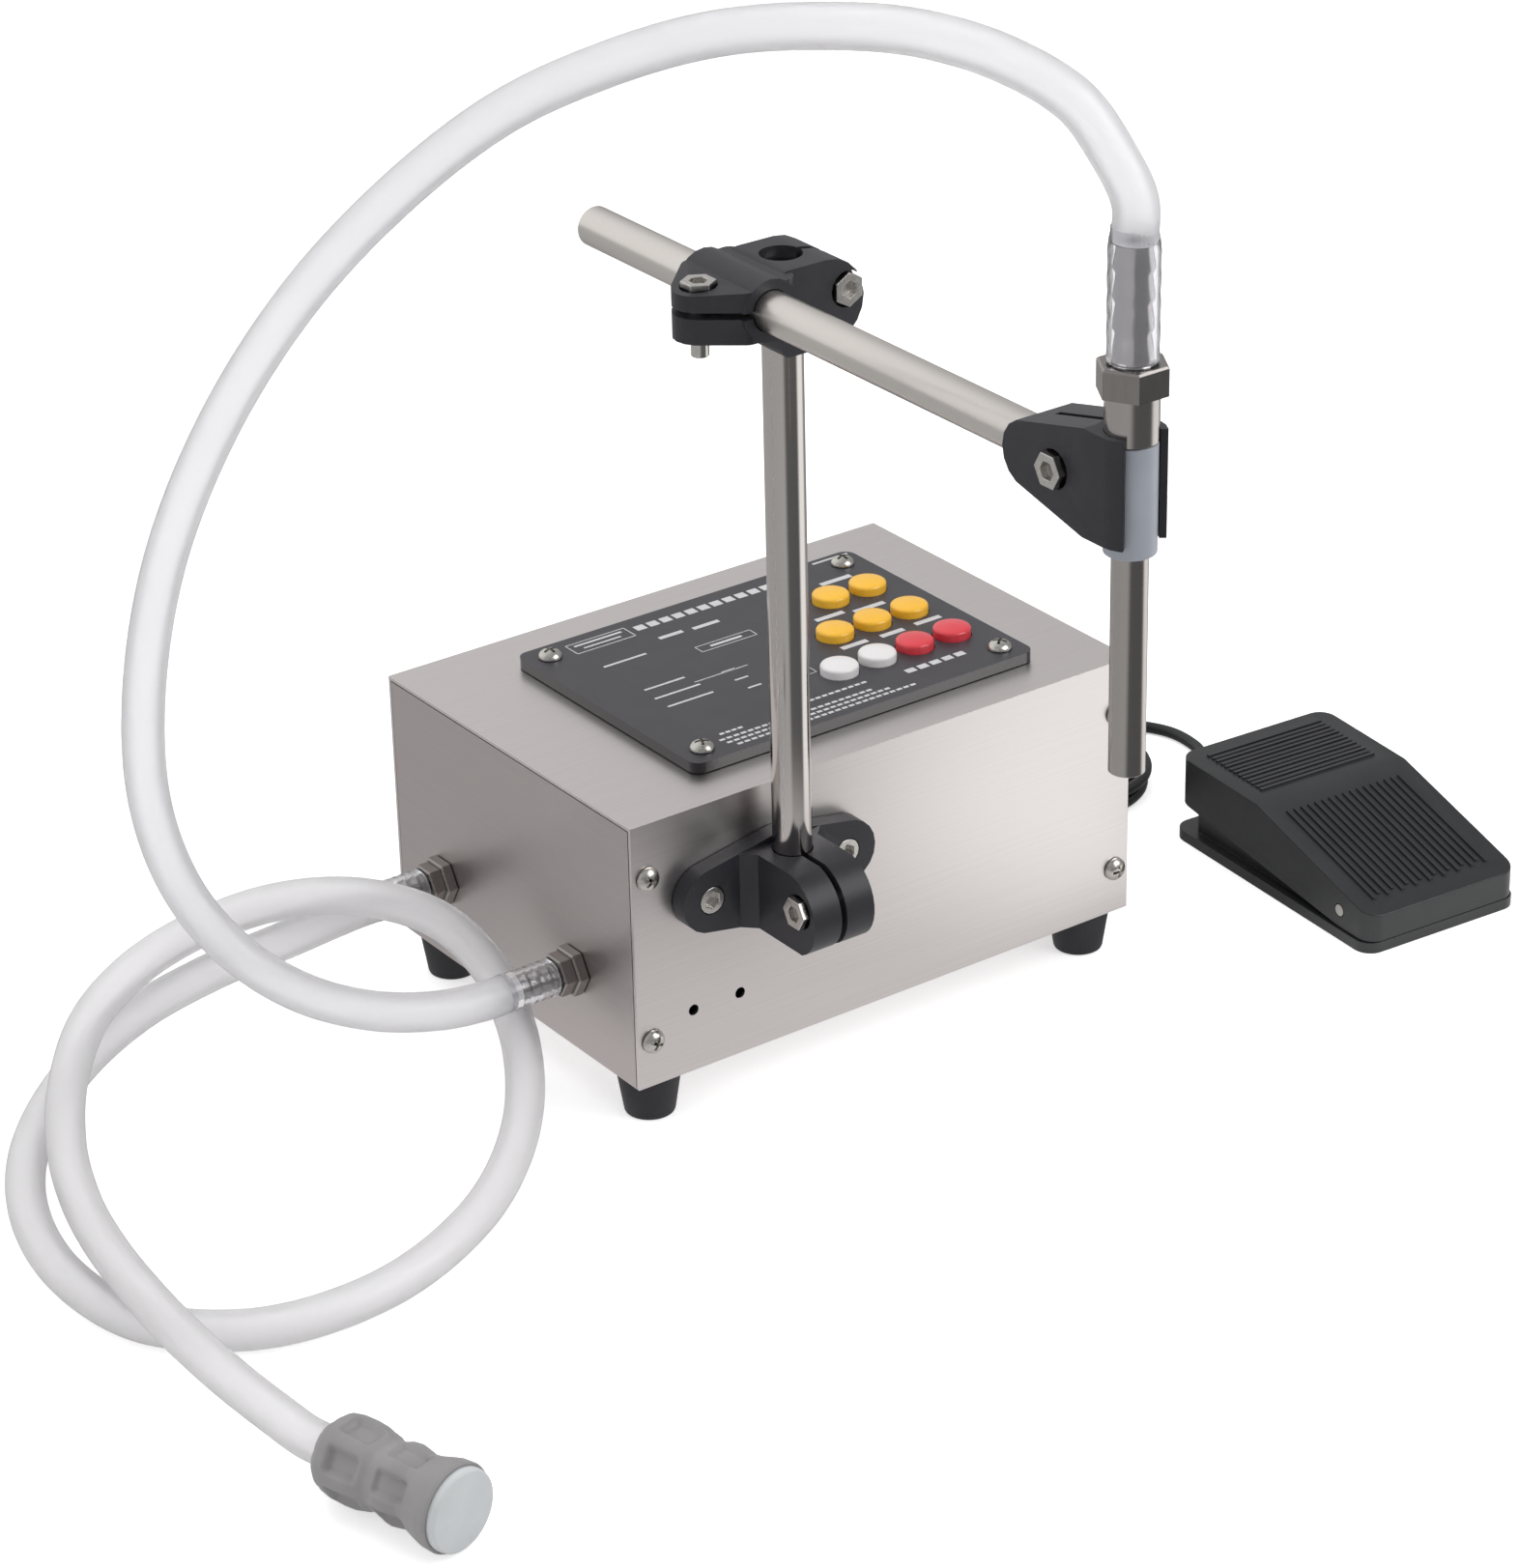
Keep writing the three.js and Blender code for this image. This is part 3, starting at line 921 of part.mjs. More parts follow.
function pedalTreadle() {
  const low = PEDAL_BASE + FIT;
  const x0 = TREADLE_INSET;
  const x1 = PEDAL_WIDTH - TREADLE_INSET;
  const side = polygon([
    [0, low], [HINGE_Y, low], [TREADLE_LENGTH, TREADLE_SKIRT_BACK], [TREADLE_LENGTH, TREADLE_BACK],
    [TREADLE_KNEE_Y, TREADLE_KNEE], [0, TREADLE_FRONT],
  ]);
  const outer = common(acrossX(side, x0, x1), raised(
    roundedRectangle(x0, x1, 0, TREADLE_LENGTH, PEDAL_CORNER), 0, TREADLE_BACK + OVERRUN));
  const ribs = [];
  const field = TREADLE_LENGTH - TREADLE_KNEE_Y - 2 * RIB_FIELD_INSET;
  for (let i = 0; i < CROSS_RIB_COUNT; i += 1) {
    const y = TREADLE_KNEE_Y + RIB_FIELD_INSET + (field * i) / (CROSS_RIB_COUNT - 1);
    const z = treadleTop(y);
    ribs.push(box(x0 + RIB_FIELD_INSET, x1 - RIB_FIELD_INSET, y - RIB_WIDTH / 2, y + RIB_WIDTH / 2,
      z - TREADLE_WALL / 2, z + RIB_HEIGHT));
  }
  const front = RIB_FIELD_INSET;
  const back = TREADLE_KNEE_Y - RIB_FIELD_INSET;
  const rib = polygon([[front, treadleTop(front) - TREADLE_WALL / 2], [back, treadleTop(back) - TREADLE_WALL / 2],
    [back, treadleTop(back) + RIB_HEIGHT], [front, treadleTop(front) + RIB_HEIGHT]]);
  const across = x1 - x0 - 2 * RIB_FIELD_INSET - RIB_WIDTH;
  for (let i = 0; i < LONG_RIB_COUNT; i += 1) {
    const x = x0 + RIB_FIELD_INSET + (across * i) / (LONG_RIB_COUNT - 1);
    ribs.push(acrossX(rib, x, x + RIB_WIDTH));
  }
  const y0 = TREADLE_WALL;
  const y1 = TREADLE_LENGTH - TREADLE_WALL;
  const cavity = acrossX(polygon([
    [y0, 0], [y1, 0], [y1, treadleTop(y1) - TREADLE_WALL], [TREADLE_KNEE_Y, TREADLE_KNEE - TREADLE_WALL],
    [y0, treadleTop(y0) - TREADLE_WALL],
  ]), x0 + TREADLE_WALL, x1 - TREADLE_WALL);
  const pinHole = facing('+x', rod(HINGE_RADIUS + FIT, 0, PEDAL_WIDTH, SMALL_SEGMENTS));
  const middle = PEDAL_WIDTH / 2;
  const notch = box(middle - TREADLE_NOTCH_WIDTH / 2, middle + TREADLE_NOTCH_WIDTH / 2, y1 - OVERRUN,
    TREADLE_LENGTH + OVERRUN, 0, TREADLE_NOTCH_TOP);
  return cut(join(outer, ...ribs), cavity, moved(pinHole, 0, HINGE_Y, HINGE_Z), notch);
}

function pedalBase() {
  const foot = raised(roundedRectangle(0, PEDAL_WIDTH, 0, PEDAL_LENGTH, PEDAL_CORNER), 0, PEDAL_BASE);
  const x0 = TREADLE_INSET + TREADLE_WALL + TUB_GAP;
  const x1 = PEDAL_WIDTH - x0;
  const middle = PEDAL_BASE / 2;
  const tub = acrossX(polygon([[TUB_FRONT_Y, middle], [TUB_BACK_Y, middle], [TUB_BACK_Y, TUB_BACK],
    [TUB_FRONT_Y, TUB_FRONT]]), x0, x1);
  const bosses = [x0, x1 - TUB_WALL].map((x) => moved(
    facing('+x', rod(TUB_BOSS_RADIUS, 0, TUB_WALL, SMALL_SEGMENTS)), x, HINGE_Y, HINGE_Z));
  const inside = box(x0 + TUB_WALL, x1 - TUB_WALL, TUB_FRONT_Y + TUB_WALL, TUB_BACK_Y - TUB_WALL,
    PEDAL_BASE, TUB_BACK + OVERRUN);
  const pinHole = facing('+x', rod(HINGE_RADIUS + FIT, 0, PEDAL_WIDTH, SMALL_SEGMENTS));
  return cut(join(cut(join(foot, tub), inside), ...bosses), moved(pinHole, 0, HINGE_Y, HINGE_Z));
}

function pedalSwitch() {
  const low = PEDAL_BASE + FIT;
  const x = (PEDAL_WIDTH - PEDAL_SWITCH_WIDTH) / 2;
  const block = box(x, x + PEDAL_SWITCH_WIDTH, PEDAL_SWITCH_Y, PEDAL_SWITCH_Y + PEDAL_SWITCH_LENGTH,
    low, low + PEDAL_SWITCH_HEIGHT);
  const plunger = rod(PLUNGER_RADIUS, low, low + PEDAL_SWITCH_HEIGHT + PLUNGER_HEIGHT, TINY_SEGMENTS);
  return join(block, moved(plunger, PEDAL_WIDTH / 2, PEDAL_SWITCH_Y + PEDAL_SWITCH_LENGTH / 2, 0));
}

// A round section swept along a curve, open ends capped flat
function swept(curve, radius, sides, steps) {
  const section = new THREE.Shape(Array.from({ length: sides }, (_, i) => {
    const angle = (2 * Math.PI * i) / sides;
    return new THREE.Vector2(radius * Math.cos(angle), radius * Math.sin(angle));
  }));
  return closed(new THREE.ExtrudeGeometry(section, { steps, extrudePath: curve }));
}

function hose(points, radius, sides, steps) {
  return swept(new THREE.CatmullRomCurve3(points.map((p) => new THREE.Vector3(...p))), radius, sides, steps);
}

class SpringCurve extends THREE.Curve {
  getPoint(t, target = new THREE.Vector3()) {
    const low = PEDAL_BASE + FIT + SPRING_WIRE;
    const high = treadleTop(SPRING_Y) - TREADLE_WALL - FIT - SPRING_WIRE;
    const angle = 2 * Math.PI * SPRING_COILS * t;
    return target.set(SPRING_RADIUS * Math.cos(angle), SPRING_RADIUS * Math.sin(angle), low + (high - low) * t);
  }
}

// The put-away cable: flat spirals that run in and out again, one layer over the other, with straight ends
class CoilCurve extends THREE.Curve {
  constructor() {
    super();
    this.loops = COIL_LAYERS * COIL_TURNS_A_LAYER;
    this.arcLengthDivisions = this.loops * COIL_STEPS_A_LOOP * MEASURES_A_STEP;
  }

  loopPoint(turn, target) {
    const layer = Math.min(Math.floor(turn / COIL_TURNS_A_LAYER), COIL_LAYERS - 1);
    const inLayer = turn - layer * COIL_TURNS_A_LAYER;
    const inwards = layer % 2 === 0 ? inLayer : COIL_TURNS_A_LAYER - inLayer;
    const nearest = Math.round(turn / COIL_TURNS_A_LAYER);
    const climbs = nearest > 0 && nearest < COIL_LAYERS;
    const past = turn - nearest * COIL_TURNS_A_LAYER;
    const climb = climbs ? THREE.MathUtils.clamp(2 * past, -0.5, 0.5) : 0;
    const level = climbs ? nearest - 0.5 + climb : layer;
    const radius = COIL_RADIUS - COIL_PITCH * inwards;
    const angle = 2 * Math.PI * turn;
    return target.set(-radius * Math.sin(angle), radius * Math.cos(angle), level * COIL_PITCH);
  }

  getPoint(t, target = new THREE.Vector3()) {
    const lead = (2 * CABLE_RADIUS) / (2 * Math.PI * COIL_RADIUS);
    const turn = t * (this.loops + 2 * lead) - lead;
    const inside = THREE.MathUtils.clamp(turn, 0, this.loops);
    this.loopPoint(inside, target);
    target.x -= (turn - inside) * 2 * Math.PI * COIL_RADIUS;
    return target;
  }

  // The narrowest space between two stretches of the cable that aren't next to each other
  leastGap() {
    const points = this.getSpacedPoints(this.loops * COIL_STEPS_A_LOOP);
    const step = this.getLength() / (points.length - 1);
    const apart = Math.ceil((NEIGHBOUR_RADII * CABLE_RADIUS) / step);
    let least = Infinity;
    points.forEach((a, i) => points.slice(i + apart).forEach((b) => {
      least = Math.min(least, a.distanceTo(b));
    }));
    return least - 2 * CABLE_RADIUS;
  }
}

function pedalRelief() {
  return facing('+y', turned([
    [0, FIT], [RELIEF_COLLAR_RADIUS, FIT], [RELIEF_COLLAR_RADIUS, FIT + RELIEF_COLLAR_LENGTH],
    [RELIEF_RADIUS, FIT + RELIEF_COLLAR_LENGTH], [RELIEF_TIP_RADIUS, RELIEF_LENGTH], [0, RELIEF_LENGTH],
  ], SMALL_SEGMENTS));
}

// A round body whose grip has shallow lobes, from the hose's end at z = FIT to the end disc
function strainer() {
  const body = turned(STRAINER_PROFILE_SHARES.map(([radius, along]) => [
    radius * STRAINER_DISC_RADIUS, FIT + along * STRAINER_LENGTH,
  ]));
  const place = body.attributes.position;
  for (let i = 0; i < place.count; i += 1) {
    if (place.getZ(i) < STRAINER_LOBED_SHARE * STRAINER_LENGTH) {
      const angle = Math.atan2(place.getY(i), place.getX(i));
      const grow = 1 + STRAINER_LOBE_SHARE * Math.cos(STRAINER_LOBE_COUNT * angle);
      place.setXY(i, place.getX(i) * grow, place.getY(i) * grow);
    }
  }
  return body;
}

piece(enclosure, 'chassis', chassis(), brushedSteel);
piece(enclosure, 'cover', cover(), brushedSteel);
[['left', FOOT_INSET], ['right', CASE_WIDTH - FOOT_INSET]].forEach(([side, x]) => {
  piece(enclosure, `foot_front_${side}`, foot(), rubber).position.set(x, FOOT_INSET, 0);
  piece(enclosure, `foot_back_${side}`, foot(), rubber).position.set(x, CASE_DEPTH - FOOT_INSET, 0);
});
coverScrewPlaces.forEach(([place, x, z]) => {
  const screw = piece(enclosure, `cover_screw_${place}`, facing('-y', panScrew(PAN_SHANK_LENGTH)), polishedSteel);
  screw.position.set(x, -FIT, z);
});
piece(enclosure, 'keypad_plate', keypadPlate(), plateFilm);
plateScrewPlaces.forEach(([place, x, y]) => {
  const screw = piece(enclosure, `plate_screw_${place}`, panScrew(PAN_SHANK_LENGTH), polishedSteel);
  screw.position.set(x, y, plateTop + FIT);
});
buttons.forEach(({ name, x, y, colour }) => piece(enclosure, name, buttonCap(), colour).position.set(x, y, 0));
piece(enclosure, 'control_board', controlBoard(), boardPlastic);
piece(enclosure, 'pump_head', pumpHead(), castAluminium);
piece(enclosure, 'pump_motor', pumpMotor(), castAluminium);
const coupling = piece(enclosure, 'drive_coupling', driveCoupling(), polishedSteel);
coupling.position.set(couplingStart, pumpY, SHAFT_HEIGHT);
piece(enclosure, 'power_supply', powerSupply(), castAluminium);
const outletFitting = piece(enclosure, 'outlet_fitting', hoseFitting(), polishedSteel);
outletFitting.position.set(0, OUTLET_FITTING_Y, FITTING_HEIGHT);
const suctionFitting = piece(enclosure, 'suction_fitting', hoseFitting(), polishedSteel);
suctionFitting.position.set(0, suctionFittingY, FITTING_HEIGHT);
const inlet = groupAt(enclosure, inletX, CASE_DEPTH, INLET_Z);
piece(inlet, 'power_inlet', powerInlet(), blackPlastic);
const rocker = piece(inlet, 'power_rocker', powerRocker(), blackPlastic);
rocker.position.set(ROCKER_X, FIT + INLET_FLANGE - ROCKER_PIVOT_DEPTH, 0);
piece(enclosure, 'pedal_gland', pedalGland(), blackPlastic).position.set(glandX, CASE_DEPTH, GLAND_Z);

const stand = groupAt(enclosure, POST_X, -POST_OUT, 0);
const base = groupAt(stand, 0, 0, CLAMP_HEIGHT);
piece(base, 'base_clamp', baseClamp(), nylon);
[['left', -1], ['right', 1]].forEach(([place, sign]) => {
  const screw = socketScrew(FLANGE_HEAD_RADIUS, FLANGE_HEAD_HEIGHT, FLANGE_SCREW_RADIUS, FLANGE_SCREW_LENGTH);
  piece(base, `base_clamp_screw_${place}`, facing('-y', screw), polishedSteel).position.set(
    (sign * FLANGE_PITCH) / 2, POST_OUT - FIT - FLANGE_THICKNESS + FLANGE_RECESS - FIT, 0);
});
const baseBolt = hexBolt(2 * BOSS_HALF_WIDTH - BOSS_BOLT_RECESS + BOLT_TAIL);
piece(base, 'base_clamp_bolt', facing('-x', baseBolt), polishedSteel).position.set(
  BOSS_BOLT_RECESS - BOSS_HALF_WIDTH - FIT, -BOSS_BOLT_OUT, BOSS_BOLT_UP);

const postBottom = CLAMP_HEIGHT - BOSS_HALF_HEIGHT + POST_BOTTOM_INSET;
const postTop = ARM_HEIGHT + CROSS_TOP - POST_RECESS;
piece(stand, 'post', chamferedRod(postTop - postBottom), polishedSteel).position.set(0, 0, postBottom);
const cross = groupAt(stand, 0, 0, ARM_HEIGHT);
piece(cross, 'cross_clamp', crossClamp(), nylon);
piece(cross, 'cross_clamp_arm_bolt', hexBolt(armBoltSeat + CROSS_EAR_BOTTOM + CROSS_BOLT_TAIL), polishedSteel)
  .position.set(armBoltX, -CROSS_EAR_SHIFT, armBoltSeat);
const postBolt = hexBolt(2 * CROSS_POST_HALF_DEPTH - CROSS_HEAD_RECESS + BOLT_TAIL);
piece(cross, 'cross_clamp_post_bolt', facing('-y', postBolt), polishedSteel)
  .position.set(CROSS_BOLT_REACH, CROSS_HEAD_RECESS - CROSS_POST_HALF_DEPTH - FIT, CROSS_SIDE_BOLT_Z);
const armFront = HEAD_ARM_SEAT + FIT - NOZZLE_REACH;
const armBar = facing('+y', chamferedRod(ARM_BACK - armFront));
piece(cross, 'arm', armBar, polishedSteel).position.set(-CROSS_OFFSET, armFront, 0);

const head = groupAt(cross, -CROSS_OFFSET, -NOZZLE_REACH, 0);
piece(head, 'end_clamp', endClamp(), nylon);
const headBolt = hexBolt(2 * HEAD_HALF_WIDTH - HEAD_BOLT_RECESS + BOLT_TAIL);
piece(head, 'end_clamp_bolt', facing('-x', headBolt), polishedSteel)
  .position.set(HEAD_BOLT_RECESS - HEAD_HALF_WIDTH - FIT, HEAD_BOLT_Y, 0);
const sleeve = ring(SLEEVE_RADIUS, PIPE_RADIUS + FIT, -SLEEVE_BOTTOM, SLEEVE_TOP);
piece(head, 'nozzle_sleeve', sleeve, sleevePlastic);
piece(head, 'nozzle_pipe', nozzlePipe(), polishedSteel);
piece(head, 'nozzle_barb', nozzleBarb(), polishedSteel);

const pedal = groupAt(machine, PEDAL_LEFT, PEDAL_FRONT, 0);
pedal.rotation.z = THREE.MathUtils.degToRad(PEDAL_TURN_DEG);
piece(pedal, 'pedal_base', pedalBase(), blackPlastic);
piece(pedal, 'pedal_treadle', pedalTreadle(), blackPlastic);
const pin = facing('+x', rod(HINGE_RADIUS, TREADLE_INSET, PEDAL_WIDTH - TREADLE_INSET, SMALL_SEGMENTS));
piece(pedal, 'pedal_pin', pin, polishedSteel).position.set(0, HINGE_Y, HINGE_Z);
piece(pedal, 'pedal_switch', pedalSwitch(), blackPlastic);
const spring = swept(new SpringCurve(), SPRING_WIRE, SPRING_SIDES, SPRING_COILS * SPRING_STEPS_A_COIL);
piece(pedal, 'pedal_spring', spring, polishedSteel).position.set(PEDAL_WIDTH / 2, SPRING_Y, 0);
const relief = piece(pedal, 'pedal_relief', pedalRelief(), rubber);
relief.position.set(PEDAL_WIDTH / 2, TUB_BACK_Y, RELIEF_Z);

const strainerEnd = groupAt(machine, STRAINER_X, STRAINER_Y, STRAINER_DISC_RADIUS + CABLE_LIFT);
strainerEnd.rotation.z = THREE.MathUtils.degToRad(STRAINER_TURN_DEG);
piece(strainerEnd, 'strainer', facing('-y', strainer()), strainerPlastic);
const coilPlace = groupAt(machine, COIL_X, COIL_Y, CABLE_RADIUS + CABLE_LIFT);
const coil = new CoilCurve();
const coilTube = swept(coil, CABLE_RADIUS, COIL_SIDES, coil.loops * COIL_STEPS_A_LOOP);
piece(coilPlace, 'cable_coil', coilTube, blackPlastic);
console.log(`least gap in the cable coil: ${coil.leastGap().toFixed(2)} mm`);

// A hose's or cable's end: where it meets its piece, and a point one diameter on, square to that piece
machine.updateMatrixWorld(true);
function endOf(group, place, way, radius) {
  const along = new THREE.Vector3(...way);
  return [0, 2 * radius].map((run) => {
    const point = new THREE.Vector3(...place).addScaledVector(along, run);
    return group.localToWorld(point).toArray();
  });
}

const fittingTip = -FITTING_LENGTH - FIT;
const [nozzleEnd, nozzleLead] = endOf(head, [0, 0, nozzleTip + FIT], [0, 0, 1], HOSE_RADIUS);
const outletTail = [fittingTip, OUTLET_FITTING_Y, FITTING_HEIGHT];
const [outletEnd, outletLead] = endOf(enclosure, outletTail, [-1, 0, 0], HOSE_RADIUS);
const suctionTail = [fittingTip, suctionFittingY, FITTING_HEIGHT];
const [suctionEnd, suctionLead] = endOf(enclosure, suctionTail, [-1, 0, 0], HOSE_RADIUS);
const [strainerNeck, strainerLead] = endOf(strainerEnd, [0, 0, 0], [0, 1, 0], HOSE_RADIUS);
const reliefTip = TUB_BACK_Y + RELIEF_LENGTH + FIT;
const [pedalEnd, pedalRun] = endOf(pedal, [PEDAL_WIDTH / 2, reliefTip, RELIEF_Z], [0, 1, 0], CABLE_RADIUS);
const glandTip = CASE_DEPTH + GLAND_LENGTH + FIT;
const [glandEnd, glandRun] = endOf(enclosure, [glandX, glandTip, GLAND_Z], [0, 1, 0], CABLE_RADIUS);
const coilEnd = 2 * CABLE_RADIUS + FIT;
const coilTop = (COIL_LAYERS - 1) * COIL_PITCH;
const [coilIn, coilInRun] = endOf(coilPlace, [coilEnd, COIL_RADIUS, 0], [1, 0, 0], CABLE_RADIUS);
const [coilOut, coilOutRun] = endOf(coilPlace, [-coilEnd, COIL_RADIUS, coilTop], [-1, 0, 0], CABLE_RADIUS);

const outletPoints = [nozzleEnd, nozzleLead, ...OUTLET_ROUTE, outletLead, outletEnd];
const suctionPoints = [suctionEnd, suctionLead, ...SUCTION_ROUTE, strainerLead, strainerNeck];
const pedalPoints = [pedalEnd, pedalRun, ...PEDAL_LEAD_ROUTE, coilInRun, coilIn];
const casePoints = [coilOut, coilOutRun, ...CASE_LEAD_ROUTE, glandRun, glandEnd];
piece(machine, 'outlet_hose', hose(outletPoints, HOSE_RADIUS, HOSE_SIDES, OUTLET_STEPS), hosePlastic);
piece(machine, 'suction_hose', hose(suctionPoints, HOSE_RADIUS, HOSE_SIDES, SUCTION_STEPS), hosePlastic);
piece(machine, 'pedal_lead', hose(pedalPoints, CABLE_RADIUS, CABLE_SIDES, PEDAL_LEAD_STEPS), blackPlastic);
piece(machine, 'case_lead', hose(casePoints, CABLE_RADIUS, CABLE_SIDES, CASE_LEAD_STEPS), blackPlastic);

// The origin is under the middle of the machine and its pedal, without what hangs or lies loose
machine.updateMatrixWorld(true);
const bounds = new THREE.Box3();
machine.traverse((node) => {
  if (node.isMesh && !cordNames.includes(node.name)) bounds.expandByObject(node, true);
});
const centre = bounds.getCenter(new THREE.Vector3());
machine.position.set(-centre.x, -centre.y, -bounds.min.z);

export default machine;
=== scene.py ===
import math

import bmesh
import bpy
from mathutils import Matrix, Vector


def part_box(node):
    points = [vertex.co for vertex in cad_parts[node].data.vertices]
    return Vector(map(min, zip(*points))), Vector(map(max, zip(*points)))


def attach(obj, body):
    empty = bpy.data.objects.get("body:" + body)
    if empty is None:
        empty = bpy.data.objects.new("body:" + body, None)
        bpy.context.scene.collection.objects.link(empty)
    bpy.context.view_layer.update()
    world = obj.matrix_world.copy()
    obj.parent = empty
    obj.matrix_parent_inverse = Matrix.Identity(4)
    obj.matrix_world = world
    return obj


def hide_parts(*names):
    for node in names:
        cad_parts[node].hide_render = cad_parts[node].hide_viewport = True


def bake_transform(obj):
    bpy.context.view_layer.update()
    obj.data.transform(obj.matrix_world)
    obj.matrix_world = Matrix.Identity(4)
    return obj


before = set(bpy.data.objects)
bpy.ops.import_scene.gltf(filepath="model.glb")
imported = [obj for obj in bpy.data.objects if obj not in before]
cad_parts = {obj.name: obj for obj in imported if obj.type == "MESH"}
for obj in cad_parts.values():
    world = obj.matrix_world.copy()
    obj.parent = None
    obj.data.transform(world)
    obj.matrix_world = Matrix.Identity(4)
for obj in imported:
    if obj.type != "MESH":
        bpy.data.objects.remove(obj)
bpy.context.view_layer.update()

# The studio: a long lens above the machine and to its left, as in the photograph, soft boxes, and
# a white paper floor. What metal mirrors is not all white: the sky is dim over the camera, and the
# floor shows painted reflection bands, dark and bright round the post, which give sheet and round
# bars their bands.
MM = 0.001
SHEET_UNDERSIDE = 15
below_case_corner = Vector(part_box("cover")[0]) - Vector((0, 0, SHEET_UNDERSIDE * MM))


def at(x, y, z):
    """A place given in millimetres from the bench under the case's front left corner."""
    return below_case_corner + Vector((x, y, z)) * MM


def add(tree, kind, sockets=None, **settings):
    """Adds a node with its settings; a socket is linked to the output it is given, or to the
    first output of a node, or else set to the value."""
    node = tree.nodes.new(kind)
    for name, value in settings.items():
        setattr(node, name, value)
    for name, value in (sockets or {}).items():
        if isinstance(value, bpy.types.Node):
            value = value.outputs[0]
        if isinstance(value, bpy.types.NodeSocket):
            tree.links.new(value, node.inputs[name])
        else:
            node.inputs[name].default_value = value
    return node


def linear(colour):
    """The linear colour of an sRGB hex value."""
    parts = [int(colour[i:i + 2], 16) / 255 for i in (1, 3, 5)]
    return (*(c / 12.92 if c <= 0.04045 else ((c + 0.055) / 1.055) ** 2.4 for c in parts), 1)


scene = bpy.context.scene
scene.view_settings.view_transform = "Standard"
CAMERA_TURN, CAMERA_RISE, CAMERA_ROLL = (math.radians(angle) for angle in (-35.32, 26.83, 1.33))
CAMERA_PLACE = (-693.6, -1045, 751.6)
LENS_LENGTH, SENSOR_WIDTH = 114.43, 36
to_camera = Vector((math.sin(CAMERA_TURN) * math.cos(CAMERA_RISE),
                    -math.cos(CAMERA_TURN) * math.cos(CAMERA_RISE), math.sin(CAMERA_RISE)))
level = Vector((math.cos(CAMERA_TURN), math.sin(CAMERA_TURN), 0))
upright = to_camera.cross(level)
camera_right = level * math.cos(CAMERA_ROLL) - upright * math.sin(CAMERA_ROLL)
camera_up = level * math.sin(CAMERA_ROLL) + upright * math.cos(CAMERA_ROLL)
lens = bpy.data.cameras.new("camera")
lens.sensor_fit = "HORIZONTAL"
lens.sensor_width = SENSOR_WIDTH
lens.lens = LENS_LENGTH
camera = bpy.data.objects.new("camera", lens)
camera.matrix_world = (Matrix.Translation(at(*CAMERA_PLACE))
                       @ Matrix((camera_right, camera_up, to_camera)).transposed().to_4x4())
scene.collection.objects.link(camera)
scene.camera = camera

# The sky grows from dim behind the camera to bright toward a window behind the machine
TO_WINDOW = (-0.35, 0.85, 0.39)
AWAY_FROM_WINDOW, AT_WINDOW = (0.3, 0.3, 0.31, 1), (0.95, 0.95, 0.94, 1)
SKY_GREYS = ((0.3, 0.33), (0.6, 0.4), (0.7, 0.5), (0.81, 0.62), (0.93, 0.9))
studio = bpy.data.worlds.new("studio")
studio.use_nodes = True
scene.world = studio
sky = studio.node_tree
sky.nodes.clear()
way = add(sky, "ShaderNodeTexCoord").outputs["Generated"]
to_window = add(sky, "ShaderNodeVectorMath", {0: way, 1: TO_WINDOW}, operation="DOT_PRODUCT")
band = add(sky, "ShaderNodeMapRange",
           {"Value": to_window.outputs["Value"], "From Min": -1.0, "From Max": 1.0})
around = add(sky, "ShaderNodeValToRGB", {"Fac": band})
around.color_ramp.elements[0].color = AWAY_FROM_WINDOW
around.color_ramp.elements[1].color = AT_WINDOW
for place, grey in SKY_GREYS:
    around.color_ramp.elements.new(place).color = (grey, grey, grey, 1)
surroundings = add(sky, "ShaderNodeBackground", {"Color": around, "Strength": 1.0})
white = add(sky, "ShaderNodeBackground", {"Color": (1, 1, 1, 1), "Strength": 1.0})


def seen_plainly(tree):
    """1 where a ray comes straight from the camera or through clear pieces, without a mirror."""
    kinds = add(tree, "ShaderNodeLightPath").outputs
    straight = add(tree, "ShaderNodeMath", operation="MAXIMUM",
                   sockets={0: kinds["Is Camera Ray"], 1: kinds["Is Transmission Ray"]})
    unmirrored = add(tree, "ShaderNodeMath", operation="LESS_THAN",
                     sockets={0: kinds["Glossy Depth"], 1: 0.5})
    return add(tree, "ShaderNodeMath", operation="MULTIPLY",
               sockets={0: straight, 1: unmirrored})


sky_mix = add(sky, "ShaderNodeMixShader",
              {0: seen_plainly(sky), 1: surroundings, 2: white})
add(sky, "ShaderNodeOutputWorld", {"Surface": sky_mix})

# Soft boxes: the place, the side in metres, the power in watts, and whether metal mirrors the box
SUBJECT = at(60, 20, 120)
for name, place, side, watts, is_mirrored in (
    ("key_box", at(650, -900, 900), 1.0, 9.5, True),
    ("top_box", at(50, 250, 1250), 1.3, 7.0, False),
    ("fill_box", at(-1200, -100, 500), 0.9, 2.5, False),
):
    lamp = bpy.data.lights.new(name, "AREA")
    lamp.size = side
    lamp.energy = watts
    box = bpy.data.objects.new(name, lamp)
    box.location = place
    box.visible_glossy = is_mirrored
    box.rotation_euler = (SUBJECT - place).to_track_quat("-Z", "Y").to_euler()
    scene.collection.objects.link(box)
